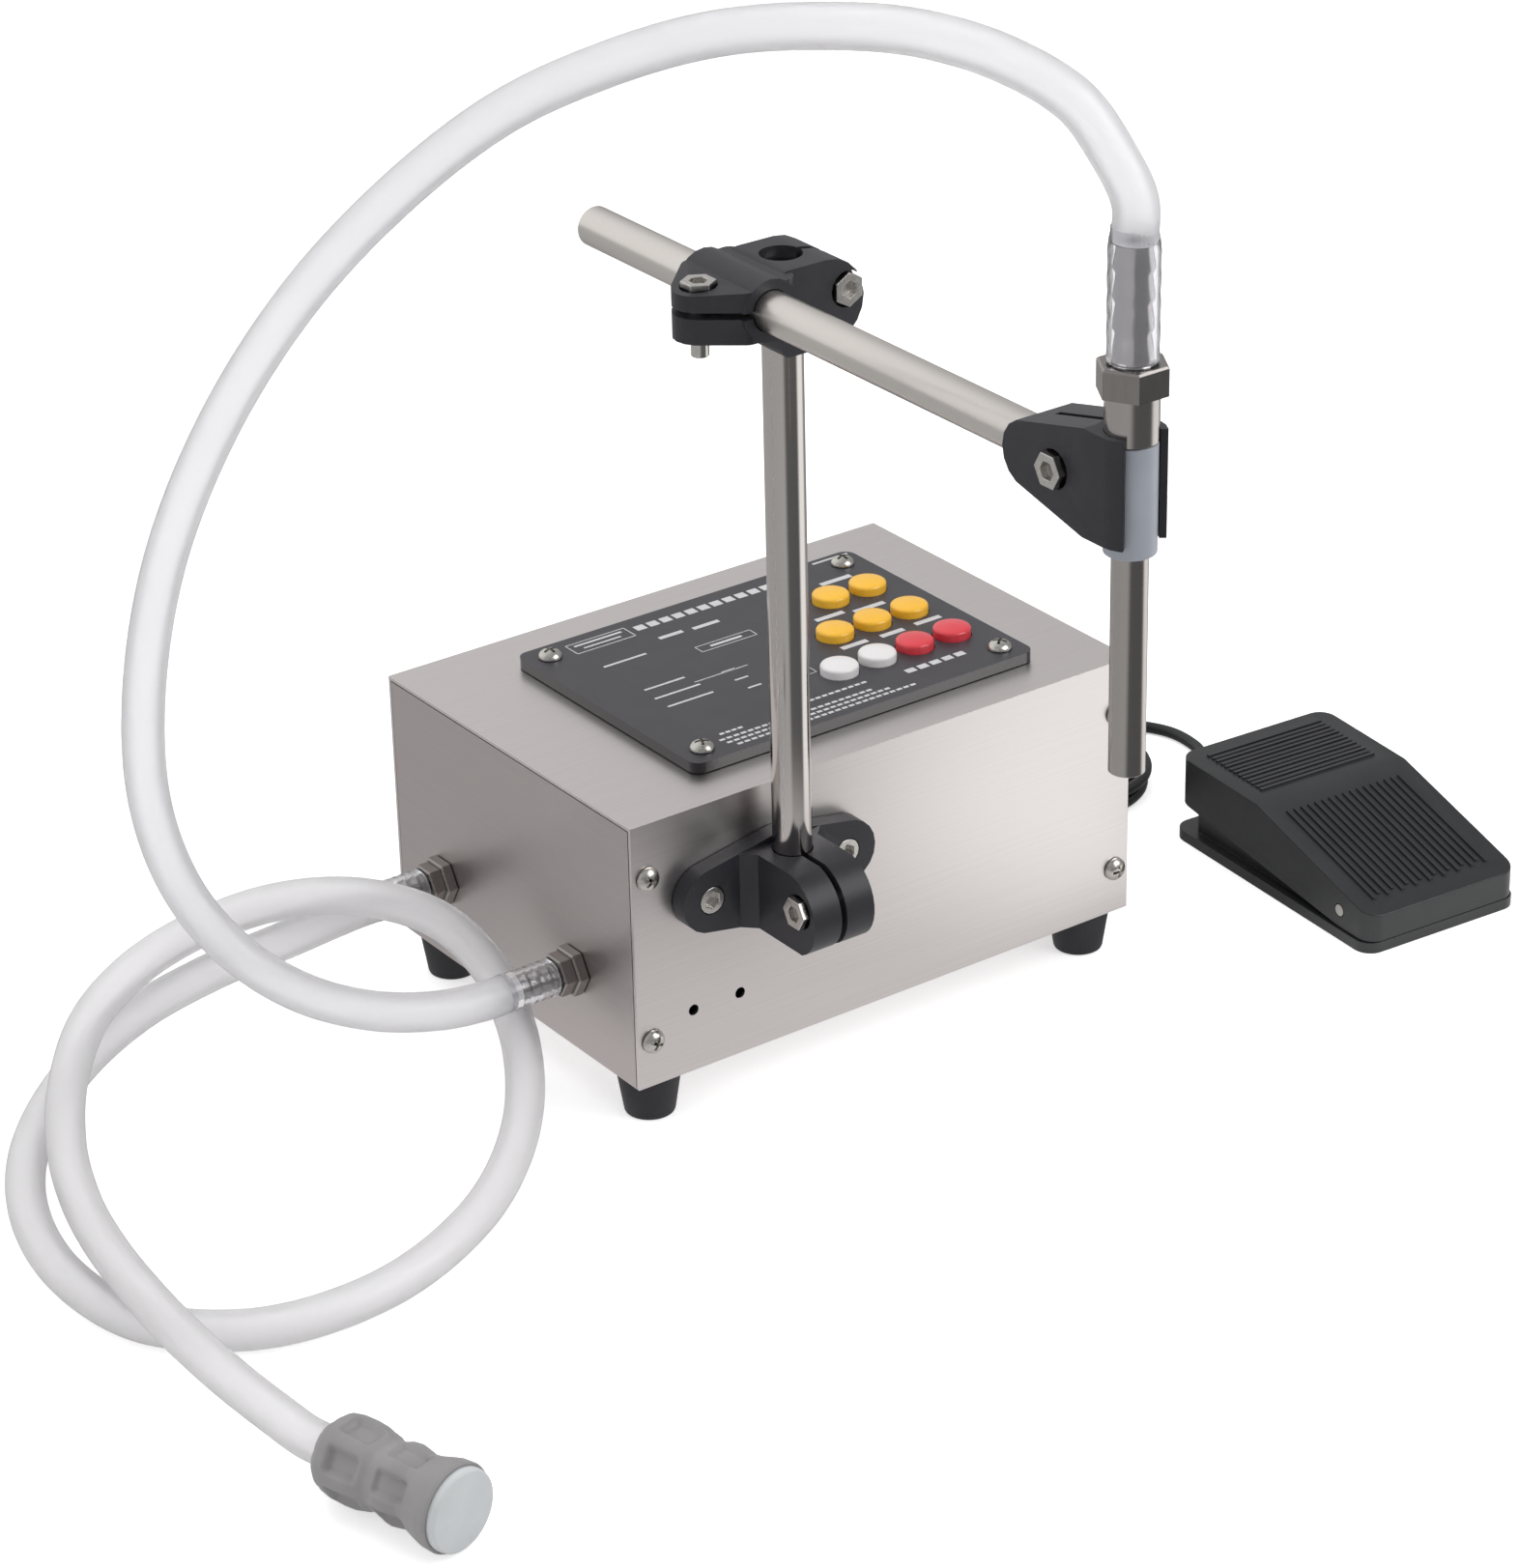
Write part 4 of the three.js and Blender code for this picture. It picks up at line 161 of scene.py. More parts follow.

# The floor is white paper. In a mirror it shows painted reflection bands instead: a painted grey
# for each place on the way round the post, which give way to one grey close to the machine.
FLOOR_REACH = 5000
POST_FOOT = (49.5, -12.5)
PAPER_GLOW, MIRRORED_STRENGTH = 0.55, 1.3
FIRST_PAINTED_GREY = LAST_PAINTED_GREY = 0.38
PAINTED_REFLECTION_GREYS = ((0.13, 0.4), (0.145, 0.38), (0.18, 0.11), (0.35, 0.1), (0.385, 0.96),
                  (0.465, 0.93), (0.505, 0.27), (0.63, 0.24), (0.7, 0.32), (0.81, 0.38))
NEAR_COLOUR, NEAR_FROM, NEAR_TO = (0.54, 0.53, 0.53, 1), 80 * MM, 200 * MM
floor_mesh = bpy.data.meshes.new("floor")
floor_corners = [at(x * FLOOR_REACH, y * FLOOR_REACH, 0)
                 for x, y in ((-1, -1), (1, -1), (1, 1), (-1, 1))]
floor_mesh.from_pydata(floor_corners, [], [(0, 1, 2, 3)])
floor_paper = bpy.data.materials.new("white_paper_floor")
floor_paper.use_nodes = True
paper = floor_paper.node_tree
paper.nodes.clear()
on_floor = add(paper, "ShaderNodeTexCoord").outputs["Object"]
from_post = add(paper, "ShaderNodeVectorMath", {0: on_floor, 1: at(*POST_FOOT, 0)},
                operation="SUBTRACT")
round_post = add(paper, "ShaderNodeTexGradient", {"Vector": from_post}, gradient_type="RADIAL")
# Painted reflection greys round the post, shown only where the floor is seen in a mirror
sides = add(paper, "ShaderNodeValToRGB", {"Fac": round_post.outputs["Fac"]})
for end, grey in zip(sides.color_ramp.elements, (FIRST_PAINTED_GREY, LAST_PAINTED_GREY)):
    end.color = (grey, grey, grey, 1)
for place, grey in PAINTED_REFLECTION_GREYS:
    sides.color_ramp.elements.new(place).color = (grey, grey, grey * 0.99, 1)
reach = add(paper, "ShaderNodeVectorMath", {0: from_post}, operation="LENGTH").outputs["Value"]
near = add(paper, "ShaderNodeMapRange", interpolation_type="SMOOTHSTEP", sockets={
    "Value": reach, "From Min": NEAR_FROM, "From Max": NEAR_TO, "To Min": 1.0, "To Max": 0.0})
by_machine = add(paper, "ShaderNodeMix", data_type="RGBA", sockets={
    0: near, 6: sides, 7: NEAR_COLOUR})
mirrored = add(paper, "ShaderNodeEmission",
               {"Color": by_machine.outputs[2], "Strength": MIRRORED_STRENGTH})
glow = add(paper, "ShaderNodeMath", {0: seen_plainly(paper), 1: PAPER_GLOW},
           operation="MULTIPLY")
lit_paper = add(paper, "ShaderNodeAddShader", {
    0: add(paper, "ShaderNodeBsdfDiffuse", {"Color": linear("#f0f0f0")}),
    1: add(paper, "ShaderNodeEmission", {"Strength": glow})})
in_mirror = add(paper, "ShaderNodeMath", operation="GREATER_THAN", sockets={
    0: add(paper, "ShaderNodeLightPath").outputs["Glossy Depth"], 1: 0.5})
paper_shown = add(paper, "ShaderNodeMixShader", {0: in_mirror, 1: lit_paper, 2: mirrored})
add(paper, "ShaderNodeOutputMaterial", {"Surface": paper_shown})
floor_mesh.materials.append(floor_paper)
floor = bpy.data.objects.new("floor", floor_mesh)
scene.collection.objects.link(floor)

# The outlet hose: soft clear PVC tube, extruded, 12 mm outside with a 2 mm wall. It is pushed
# over the barbs of the outlet fitting and of the nozzle and stands in one high arc. It is made of
# five lengths.
HOSE_RADIUS = 6 * MM
HOSE_BORE = 4 * MM
HOSE_SIDES = 28
HOSE_STEP = 2.5 * MM
CREASE = 32


def evenly(line, step):
    """The same line with its points about a step apart."""
    runs = [0]
    for here, there in zip(line, line[1:]):
        runs.append(runs[-1] + (there - here).length)
    count = max(1, round(runs[-1] / step))
    points, leg = [], 0
    for i in range(count + 1):
        run = runs[-1] * i / count
        while leg < len(line) - 2 and runs[leg + 1] < run:
            leg += 1
        share = (run - runs[leg]) / (runs[leg + 1] - runs[leg])
        points.append(line[leg].lerp(line[leg + 1], share))
    return points


def smooth_route(places, step, cuts=16):
    """A smooth line through a cord's places, which bends more evenly the closer they are."""
    p = [Vector(place) for place in places]
    p = [2 * p[0] - p[1], *p, 2 * p[-1] - p[-2]]
    line = []
    for a, b, c, d in zip(p, p[1:], p[2:], p[3:]):
        before, between, after = ((v - u).length ** 0.5 for u, v in ((a, b), (b, c), (c, d)))
        leave = (b - a) / before - (c - a) / (before + between) + (c - b) / between
        arrive = (c - b) / between - (d - b) / (between + after) + (d - c) / after
        leave, arrive = leave * between, arrive * between
        for i in range(cuts):
            t = i / cuts
            line.append(b + leave * t + (3 * (c - b) - 2 * leave - arrive) * t ** 2
                        + (2 * (b - c) + leave + arrive) * t ** 3)
    line.append(p[-2])
    return evenly(line, step)


def tube(line, outer, inner, sides, span=None):
    """A round tube along a line, hollow if it has an inner radius. A span makes only the length
    from one point of the line to another, open where the tube runs on in the next length."""
    first, last = span or (0, len(line) - 1)
    bm = bmesh.new()
    across = (line[1] - line[0]).orthogonal().normalized()
    walls = [outer, inner] if inner else [outer]
    angles = [math.tau * k / sides for k in range(sides)]
    rings = []
    for i, point in enumerate(line):
        ahead = (line[min(i + 1, len(line) - 1)] - line[max(i - 1, 0)]).normalized()
        across = (across - across.dot(ahead) * ahead).normalized()
        if not first <= i <= last:
            continue
        upwards = ahead.cross(across)
        spokes = [math.cos(angle) * across + math.sin(angle) * upwards for angle in angles]
        rings.append([[bm.verts.new(point + radius * spoke) for spoke in spokes]
                      for radius in walls])
    for wall in range(len(walls)):
        turned_in = -1 if wall else 1
        for ring, following in zip(rings, rings[1:]):
            here, there = ring[wall], following[wall]
            for k in range(sides):
                bm.faces.new((here[k - 1], here[k], there[k], there[k - 1])[::turned_in])
    ends = ((rings[0], -1, first == 0), (rings[-1], 1, last == len(line) - 1))
    for ring, forwards, is_cut in ends:
        if is_cut and inner:
            rim, bore = ring
            for k in range(sides):
                bm.faces.new((rim[k - 1], rim[k], bore[k], bore[k - 1])[::forwards])
        elif is_cut:
            bm.faces.new(ring[0][::forwards])
    return bm


def made(name, bm, material, crease=CREASE):
    """Turns a worked mesh into a piece, smooth except where faces meet at more than the crease."""
    mesh = bpy.data.meshes.new(name)
    bm.to_mesh(mesh)
    bm.free()
    mesh.shade_smooth()
    mesh.set_sharp_from_angle(angle=math.radians(crease))
    mesh.materials.append(material)
    piece = bpy.data.objects.new(name, mesh)
    scene.collection.objects.link(piece)
    return piece


def shaded(name, colour, **sockets):
    """A material of one shader, its constant values set on the shader's own sockets."""
    material = bpy.data.materials.new(name)
    material.use_nodes = True
    tree = material.node_tree
    tree.nodes.clear()
    shader = add(tree, "ShaderNodeBsdfPrincipled", {"Base Color": linear(colour)})
    for socket, value in sockets.items():
        shader.inputs[socket.replace("_", " ")].default_value = value
    add(tree, "ShaderNodeOutputMaterial", {"Surface": shader})
    return material, tree, shader


def surfaced(tree, shader, tones, dark, light, heights, relief, strength):
    """Gives a shader two colours by one pattern, and a relief in millimetres by another."""
    tone = add(tree, "ShaderNodeMix", {0: tones, 6: linear(dark), 7: linear(light)},
               data_type="RGBA")
    tree.links.new(tone.outputs[2], shader.inputs["Base Color"])
    bump = add(tree, "ShaderNodeBump",
               {"Height": heights, "Distance": relief * MM, "Strength": strength})
    tree.links.new(bump.outputs[0], shader.inputs["Normal"])


# How many grains wide a soft patch of colour is
PATCH_GRAINS = 25


def moulded(name, dark, light, grain, relief, **sockets):
    """Plastic or rubber: two close colours in soft patches and the fine grain of its mould, which
    like its relief is in millimetres."""
    material, tree, shader = shaded(name, light, **sockets)
    place = add(tree, "ShaderNodeTexCoord").outputs["Object"]
    patches = add(tree, "ShaderNodeTexNoise", {
        "Vector": place, "Scale": 1 / (grain * PATCH_GRAINS * MM), "Detail": 3.0})
    grains = add(tree, "ShaderNodeTexNoise", {
        "Vector": place, "Scale": 1 / (grain * MM), "Detail": 2.0})
    surfaced(tree, shader, patches, dark, light, grains, relief, 0.6)
    return material


# Soft PVC is milky: light goes in and comes out as a pale haze with a soft wet shine
hose_pvc = moulded("extruded_soft_pvc", "#fbfafc", "#fefeff", 0.8, 0.01,
                   Roughness=0.34, IOR=1.38, Transmission_Weight=0.74)
TAIL_TIP, FITTING_HEIGHT = -22.3, 43
FITTING_PLACES = {"outlet": 32.6, "suction": 105.8}
NOZZLE = (34, -183.7)
outlet_places = [at(*p) for p in [
    (TAIL_TIP, FITTING_PLACES["outlet"], FITTING_HEIGHT),
    (TAIL_TIP - 10, FITTING_PLACES["outlet"], FITTING_HEIGHT),
    (-48, 32.8, 45), (-70, 32.6, 52.5), (-94, 31.5, 67), (-115, 30.5, 87.5), (-132, 29, 114.5),
    (-141, 27.5, 146), (-140.5, 26, 181.5), (-131, 24.5, 219.5), (-113, 21, 255.5),
    (-91, 12.5, 288), (-69, -3, 316), (-49, -25, 340), (-33, -52, 357), (-20, -82, 370),
    (-8.5, -111, 377), (3.5, -136, 379), (15, -156, 375), (25, -171, 366), (30.5, -178.5, 354),
    (*NOZZLE, 341.6), (*NOZZLE, 331.6)]]
outlet_line = smooth_route(outlet_places, HOSE_STEP)
TURNS_ALONG = (0, 0.16, 0.52, 0.67, 0.84, 1)
outlet_ends = [round(share * (len(outlet_line) - 1)) for share in TURNS_ALONG]
for number, (first, last) in enumerate(zip(outlet_ends, outlet_ends[1:]), 1):
    shape = tube(outlet_line, HOSE_RADIUS, HOSE_BORE, HOSE_SIDES, (first, last))
    hose = made(f"outlet_hose_{number}", shape, hose_pvc)
    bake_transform(hose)
    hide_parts("outlet_hose")

# The suction hose is the same tube, a little clouded. It leaves the other fitting, lies on the
# bench in two open loops and ends in the strainer, which sinks to the bottom of the drum that the
# machine draws from.
STRAINER_NECK = (-170, -102, 13.1)
suction_places = [at(*p) for p in [
    (TAIL_TIP, FITTING_PLACES["suction"], FITTING_HEIGHT),
    (TAIL_TIP - 10, FITTING_PLACES["suction"], FITTING_HEIGHT),
    (-55.5, 109.5, 38.7), (-80, 116, 32.3), (-104, 119, 25.2), (-130, 113, 17),
    (-155.7, 93.5, 10.8), (-173.9, 62.6, 8.5), (-181.1, 25.8, 7), (-174.3, -8, 6.2),
    (-149.7, -31.2, 6.8), (-113.5, -36.8, 8.3), (-75.8, -24.4, 10.3), (-47.2, -3.3, 13.5),
    (-29, 18, 20), (-19, 38.5, 29.3), (-16.6, 57.1, 40.1), (-22.3, 75.3, 49.4),
    (-36.9, 93.2, 54), (-56.3, 108.7, 52.8), (-79.2, 117.7, 47.8), (-102.2, 119.2, 41.2),
    (-123.6, 112.3, 33.3), (-141.1, 95.7, 24.8), (-154.7, 73, 18.6), (-164.9, 46, 16.6),
    (-172.1, 17.7, 17.7), (-176.5, -9.9, 19), (-178.2, -35.4, 18.6), (-177.2, -59.9, 16.6),
    (-174.3, -82.5, 14.3), (-172.57, -92.34, 13.1), STRAINER_NECK]]
suction_line = smooth_route(suction_places, HOSE_STEP)


def fitted(piece, body, slot, *nodes):
    """Gives a piece the body it moves with and hides the solids it stands for; the slot of its
    finish is not used."""
    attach(piece, body)
    if nodes:
        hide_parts(*nodes)


# This copy of the hose's PVC is a little greyer, lets less light through and shines less
greyer_pvc = moulded("soft_pvc_greyer_copy", "#f7f6f7", "#fcfbfc", 0.8, 0.01,
                   Roughness=0.36, IOR=1.38, Transmission_Weight=0.66)
suction_hose = made("suction_hose_tube",
                    tube(suction_line, HOSE_RADIUS, HOSE_BORE, HOSE_SIDES), greyer_pvc)
fitted(suction_hose, "machine", "clear_hose", "suction_hose")

# The strainer: a cage moulded in smoke grey plastic, with two rows of windows between its ribs,
# closed by a pale filter disc. The windows are sunk deep enough to catch a shadow, and their floor
# stands for the filter sleeve behind them.
STRAINER_LENGTH, STRAINER_RADIUS, RIB_PAIRS = 47, 13, 3
STRAINER_TURN = math.radians(14.9)
STRAINER_AXIS = Vector((math.sin(STRAINER_TURN), -math.cos(STRAINER_TURN), 0))
STRAINER_SHARES = [(0, 0), (0.5, 0), (0.72, 0.015), (0.84, 0.06), (0.88, 0.12), (0.89, 0.22),
                   (0.87, 0.3), (0.8, 0.38), (0.74, 0.42), (0.76, 0.47), (0.83, 0.52),
                   (0.85, 0.57), (0.82, 0.63), (0.8, 0.68), (0.84, 0.73), (0.91, 0.79),
                   (0.98, 0.86), (0.995, 0.93), (0.97, 0.945), (0, 0.945)]
DISC_SHARES = [(0, 0.93), (0.9, 0.93), (0.92, 0.94), (0.92, 0.975), (0.905, 0.99),
               (0.87, 0.998), (0.5, 1), (0, 1)]


def turned(profile, sides, place, axis, detail=None):
    """A solid of radii and heights in millimetres, turned about an axis; detail may change each
    radius by its angle and height."""
    bm = bmesh.new()
    rings = []
    for radius, height in profile:
        if radius == 0:
            rings.append([bm.verts.new((0, 0, height))] * sides)
            continue
        ring = []
        for k in range(sides):
            angle = math.tau * k / sides
            r = radius * (detail(angle, height) if detail else 1)
            ring.append(bm.verts.new((r * math.cos(angle), r * math.sin(angle), height)))
        rings.append(ring)
    for here, there in zip(rings, rings[1:]):
        for k in range(sides):
            corners = [here[k - 1], here[k], there[k], there[k - 1]]
            kept = [corner for i, corner in enumerate(corners) if corner not in corners[:i]]
            if len(kept) > 2:
                bm.faces.new(kept)
    bm.normal_update()
    bmesh.ops.recalc_face_normals(bm, faces=bm.faces)
    turn = axis.to_track_quat("Z", "Y").to_matrix().to_4x4()
    bmesh.ops.transform(bm, matrix=Matrix.Translation(place) @ turn @ Matrix.Scale(MM, 4),
                        verts=bm.verts)
    return bm


def ease(value, low, high):
    """Rises smoothly from 0 to 1 between low and high."""
    t = min(max((value - low) / (high - low), 0), 1)
    return t * t * (3 - 2 * t)


def finer(profile, gap):
    """The same outline with extra points, so that no two are further apart than the gap."""
    points = [profile[0]]
    for (r0, h0), (r1, h1) in zip(profile, profile[1:]):
        count = max(1, math.ceil(math.hypot(r1 - r0, h1 - h0) / gap))
        points += [(r0 + (r1 - r0) * i / count, h0 + (h1 - h0) * i / count)
                   for i in range(1, count + 1)]
    return points


def strainer_windows(angle, height):
    """Three pairs of ribs that stand out a little, and two rows of windows sunk between them."""
    along = height / STRAINER_LENGTH
    near_rib = abs(math.cos(RIB_PAIRS * angle))
    open_width = 1 - ease(near_rib, 0.72, 0.86)
    first = ease(along, 0.13, 0.17) * (1 - ease(along, 0.33, 0.37))
    second = ease(along, 0.48, 0.52) * (1 - ease(along, 0.7, 0.74))
    rib = 0.05 * near_rib * (1 - ease(along, 0.6, 0.75))
    return 1 + rib - 0.17 * open_width * max(first, second)


def in_millimetres(shares):
    """An outline of the strainer from its shares of the radius and the length."""
    return [(r * STRAINER_RADIUS, h * STRAINER_LENGTH) for r, h in shares]


# The cage is a little see-through and dull; the disc is sintered, pale and without any shine
smoke_plastic = moulded("moulded_smoke_grey_plastic", "#8b898a", "#a5a3a3", 0.7, 0.04,
                        Roughness=0.4, Transmission_Weight=0.15, IOR=1.5)
filter_stone = moulded("sintered_filter_disc", "#c0c3c5", "#d2d5d7", 0.5, 0.06, Roughness=0.75)
strainer_place = at(*STRAINER_NECK) + STRAINER_AXIS * 0.3 * MM
cage_shape = turned(finer(in_millimetres(STRAINER_SHARES), 0.8), 96, strainer_place,
                    STRAINER_AXIS, strainer_windows)
cage = made("strainer_cage", cage_shape, smoke_plastic, 60)
disc_shape = turned(in_millimetres(DISC_SHARES), 64, strainer_place, STRAINER_AXIS)
disc = made("strainer_disc", disc_shape, filter_stone)
for part in (cage, disc):
    fitted(part, "machine", "strainer_plastic", "strainer")

# The pedal's cable: round black PVC flex, 4 mm. It leaves the pedal, and what the photograph hides
# is put away in a flat coil behind the case, two layers of three turns, before it goes up into the
# gland at the back.
CABLE_RADIUS, CABLE_SIDES = 2 * MM, 14
CABLE_STEP = 1.6 * MM
COIL_MIDDLE = (248, 102.5, 2.1)
COIL_RADIUS, COIL_PITCH, COIL_LAYERS, COIL_TURNS, POINTS_A_TURN = 29.6, 4.6, 2, 3, 48
PEDAL_PLACE = at(246.1, -52.7, 0)
PEDAL_TURN = Matrix.Rotation(math.radians(-3.7), 4, "Z")
PEDAL_WIDTH, RELIEF_HEIGHT = 63, 9


def on_pedal(x, y, z):
    """A place given in millimetres from the pedal's own front left corner."""
    return PEDAL_PLACE + PEDAL_TURN @ (Vector((x, y, z)) * MM)


def coil_point(turn):
    """Where the coiled cable lies after so many turns: inwards below, outwards again above."""
    layer = min(int(turn / COIL_TURNS), COIL_LAYERS - 1)
    inwards = turn if layer % 2 == 0 else 2 * COIL_TURNS - turn
    change = min(max((turn - COIL_TURNS) * 2, -0.5), 0.5)
    radius = COIL_RADIUS - COIL_PITCH * inwards
    angle = math.tau * turn
    x, y, z = COIL_MIDDLE
    return at(x - radius * math.sin(angle), y + radius * math.cos(angle),
              z + COIL_PITCH * (0.5 + change))


cable_places = [on_pedal(PEDAL_WIDTH / 2, 107.1, RELIEF_HEIGHT),
                on_pedal(PEDAL_WIDTH / 2, 111.1, RELIEF_HEIGHT)]
cable_places += [at(*p) for p in [
    (287.5, 66, 6), (293.5, 80, 2.8), (299.5, 94, 2.1), (299.5, 108, 2.1), (292, 120.5, 2.1),
    (278.5, 129, 2.1), (256.3, 132.1, 2.1), (252.3, 132.1, 2.1)]]
coil_line = [coil_point(step / POINTS_A_TURN)
             for step in range(POINTS_A_TURN * COIL_LAYERS * COIL_TURNS + 1)]
case_places = [at(*p) for p in [
    (243.7, 132.1, 6.7), (239.7, 132.1, 6.7), (233, 133, 4.6), (220, 137.5, 2.5),
    (206, 145, 2.1), (192.5, 154, 4), (181, 161.5, 11), (172.5, 163, 22), (168, 156.5, 33),
    (166, 146.3, 37), (166, 142.3, 37)]]
cable_line = evenly([*smooth_route(cable_places, CABLE_STEP), *coil_line,
                     *smooth_route(case_places, CABLE_STEP)], CABLE_STEP)
# A flex's jacket is satin, between the matt of rubber and the shine of a hard plastic
cable_pvc = moulded("extruded_black_pvc_jacket", "#17181a", "#202123", 0.5, 0.03, Roughness=0.42)
pedal_cable = made("pedal_cable", tube(cable_line, CABLE_RADIUS, 0, CABLE_SIDES), cable_pvc)
fitted(pedal_cable, "machine", "cable_jacket", "pedal_lead", "cable_coil", "case_lead")

# Stretched ends of the hoses: pushed over the barbs, the tube swells and turns clear where it wets
# the metal, so the rings show through it. Each end closes over the first few millimetres of its
# milky hose.
UP, LEFT = Vector((0, 0, 1)), Vector((-1, 0, 0))
BARB_COUNT, SWELL, SWELL_STEPS = 4, 0.07, 32
clear_pvc, _, _ = shaded("stretched_clear_pvc", "#f6f6f9",
                         Roughness=0.06, IOR=1.42, Transmission_Weight=0.94)


def stretched_end(name, body, tip, axis, reach, inner, outer, replaced):
    """A hose's end, swollen at each barb, with its reach and radii in millimetres."""
    over_barbs = []
    for i in range(SWELL_STEPS + 1):
        share = i / SWELL_STEPS
        over_barbs.append((outer + SWELL * math.cos(math.tau * BARB_COUNT * share),
                           -reach + 0.4 + (reach - 3) * share))
    outline = [(inner, -reach), (outer - 0.2, -reach), *over_barbs, (outer - 0.05, -1.2),
               (outer - 0.25, 0.6), (6.12, 2.6), (6.05, 4), (6.02, 4), (6.02, 0.1), (inner, 0.1),
               (inner, -reach)]
    fitted(made(name, turned(outline, 40, tip, axis), clear_pvc), body, "clear_hose", replaced)


stretched_end("outlet_hose_end", "nozzle", at(*NOZZLE, 331.3), UP, 31.6, 5.6, 6.75, "outlet_hose")
for name, y in FITTING_PLACES.items():
    stretched_end(f"{name}_hose_cuff", "machine", at(TAIL_TIP, y, FITTING_HEIGHT), LEFT,
                  13.6, 4.3, 5.9, f"{name}_hose")

# The case: a chassis (base and both ends) and a cover (front, top and back) of 1.2 mm stainless
# sheet, laser cut and bent. The brush lines run along the cover and along the ends, and the bends
# are small and bright.
SHEET_EDGE = 0.35
BRUSH_LENGTH, BRUSH_WIDTH, BRUSH_DEPTH = 60, 0.4, 0.006


def from_cad(name, node, material):
    """A copy of a solid of the frame, its loose triangles merged into whole faces."""
    bm = bmesh.new()
    bm.from_mesh(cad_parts[node].data)
    bmesh.ops.remove_doubles(bm, verts=bm.verts, dist=0.01 * MM)
    bmesh.ops.dissolve_limit(bm, angle_limit=math.radians(1), verts=bm.verts, edges=bm.edges)
    return made(name, bm, material)


def eased_edges(piece, width, steps=2, angle=35):
    """Rounds the piece's sharp edges by a width in millimetres."""
    bevel = piece.modifiers.new("eased edges", "BEVEL")
    bevel.width = width * MM
    bevel.segments = steps
    bevel.limit_method = "ANGLE"
    bevel.angle_limit = math.radians(angle)
    bevel.harden_normals = True
    return piece


def brushed(name, dark, light, lines, rough, relief=0.01):
    """Metal with drawn lines: lines holds their length or width in millimetres along x, y and z,
    and rough the least and the most roughness."""
    material, tree, shader = shaded(name, light, Metallic=1.0)
    place = add(tree, "ShaderNodeTexCoord").outputs["Object"]
    drawn = add(tree, "ShaderNodeMapping",
                {"Vector": place, "Scale": [1 / (line * MM) for line in lines]})
    streaks = add(tree, "ShaderNodeTexNoise", {"Vector": drawn, "Scale": 1.0, "Detail": 3.0})
    dull = add(tree, "ShaderNodeMapRange",
               {"Value": streaks, "To Min": rough[0], "To Max": rough[1]})
    tree.links.new(dull.outputs[0], shader.inputs["Roughness"])
    surfaced(tree, shader, streaks, dark, light, streaks, relief, 0.4)
    return material


# Brushing draws fine bright streaks along the sheet and blurs what it mirrors
cover_steel = brushed("brushed_stainless_cover", "#dbd5d4", "#e9e4e2",
                      (BRUSH_LENGTH, BRUSH_WIDTH, BRUSH_WIDTH), (0.3, 0.4), BRUSH_DEPTH)
# The chassis is the same steel as the cover, painted a shade darker for the shade that falls on the
# case's ends
shaded_end_steel = brushed("brushed_stainless_ends_painted_darker", "#c3bcbc", "#cfc8c6",
                    (BRUSH_WIDTH, BRUSH_LENGTH, BRUSH_WIDTH), (0.32, 0.42), BRUSH_DEPTH)
for node, steel in (("cover", cover_steel), ("chassis", shaded_end_steel)):
    sheet = eased_edges(from_cad(f"case_{node}", node, steel), SHEET_EDGE)
    fitted(sheet, "machine", "brushed_steel", node)

# Feet: four tapered bumpers moulded in black rubber, each hollow underneath for the screw that
# holds it to the bottom of the chassis.
FOOT_OUTLINE = [(0, 7), (3.6, 7), (4, 6.6), (4, 0.3), (4.3, 0), (7.2, 0), (7.7, 0.3), (7.95, 0.9),
                (9.9, 13.6), (9.9, 14.3), (9.5, 14.7), (0, 14.7)]
# Rubber is matt, with a fine grain that scatters the little it reflects
foot_rubber = moulded("moulded_black_rubber", "#1f1e22", "#2b2a2f", 0.5, 0.05, Roughness=0.6)
for corner, x, y in (("front_left", 11, 11), ("front_right", 179, 11),
                     ("back_left", 11, 122), ("back_right", 179, 122)):
    foot = made(f"rubber_foot_{corner}", turned(FOOT_OUTLINE, 56, at(x, y, 0), UP), foot_rubber, 40)
    fitted(foot, "machine", "rubber", f"foot_{corner}")

# Pan-head screws, nickel plated, with a cross recess: four hold the cover to the ends, four hold
# the keypad plate. One tree of nodes makes the head and its shank and sets one at each place,
# each turned as it came to rest.
HEAD_RADIUS, HEAD_HEIGHT, SHANK_RADIUS, SHANK_LENGTH = 3.85, 2.6, 2, 8
SLOT_LENGTH, SLOT_WIDTH, SLOT_DEPTH = 4.4275, 0.95, 1.3
SCREW_SIZES = {"Head": (HEAD_RADIUS, HEAD_RADIUS, HEAD_HEIGHT), "Head top": (0, 0, HEAD_HEIGHT),
               "Slot": (SLOT_LENGTH, SLOT_WIDTH, 2 * SLOT_DEPTH),
               "Shank": (SHANK_RADIUS, SHANK_RADIUS, SHANK_LENGTH)}
SCREW_SEED = 7


def tree_of_nodes(name, kinds, result):
    """An empty tree of geometry nodes with its inputs, each of its kind, and its one output."""
    tree = bpy.data.node_groups.new(name, "GeometryNodeTree")
    for title, kind in kinds.items():
        tree.interface.new_socket(title, in_out="INPUT", socket_type=f"NodeSocket{kind}")
    tree.interface.new_socket(result, in_out="OUTPUT", socket_type="NodeSocketGeometry")
    return tree, add(tree, "NodeGroupInput").outputs


def set_out(tree, given, piece, **sockets):
    """Ends a tree: the piece stands at each place, made one plain mesh and given its material."""
    each = add(tree, "GeometryNodeInstanceOnPoints",
               {"Points": given["Places"], "Instance": piece, **sockets})
    real = add(tree, "GeometryNodeRealizeInstances", {"Geometry": each})
    coated = add(tree, "GeometryNodeSetMaterial",
                 {"Geometry": real, "Material": given["Material"]})
    add(tree, "NodeGroupOutput", {0: coated})


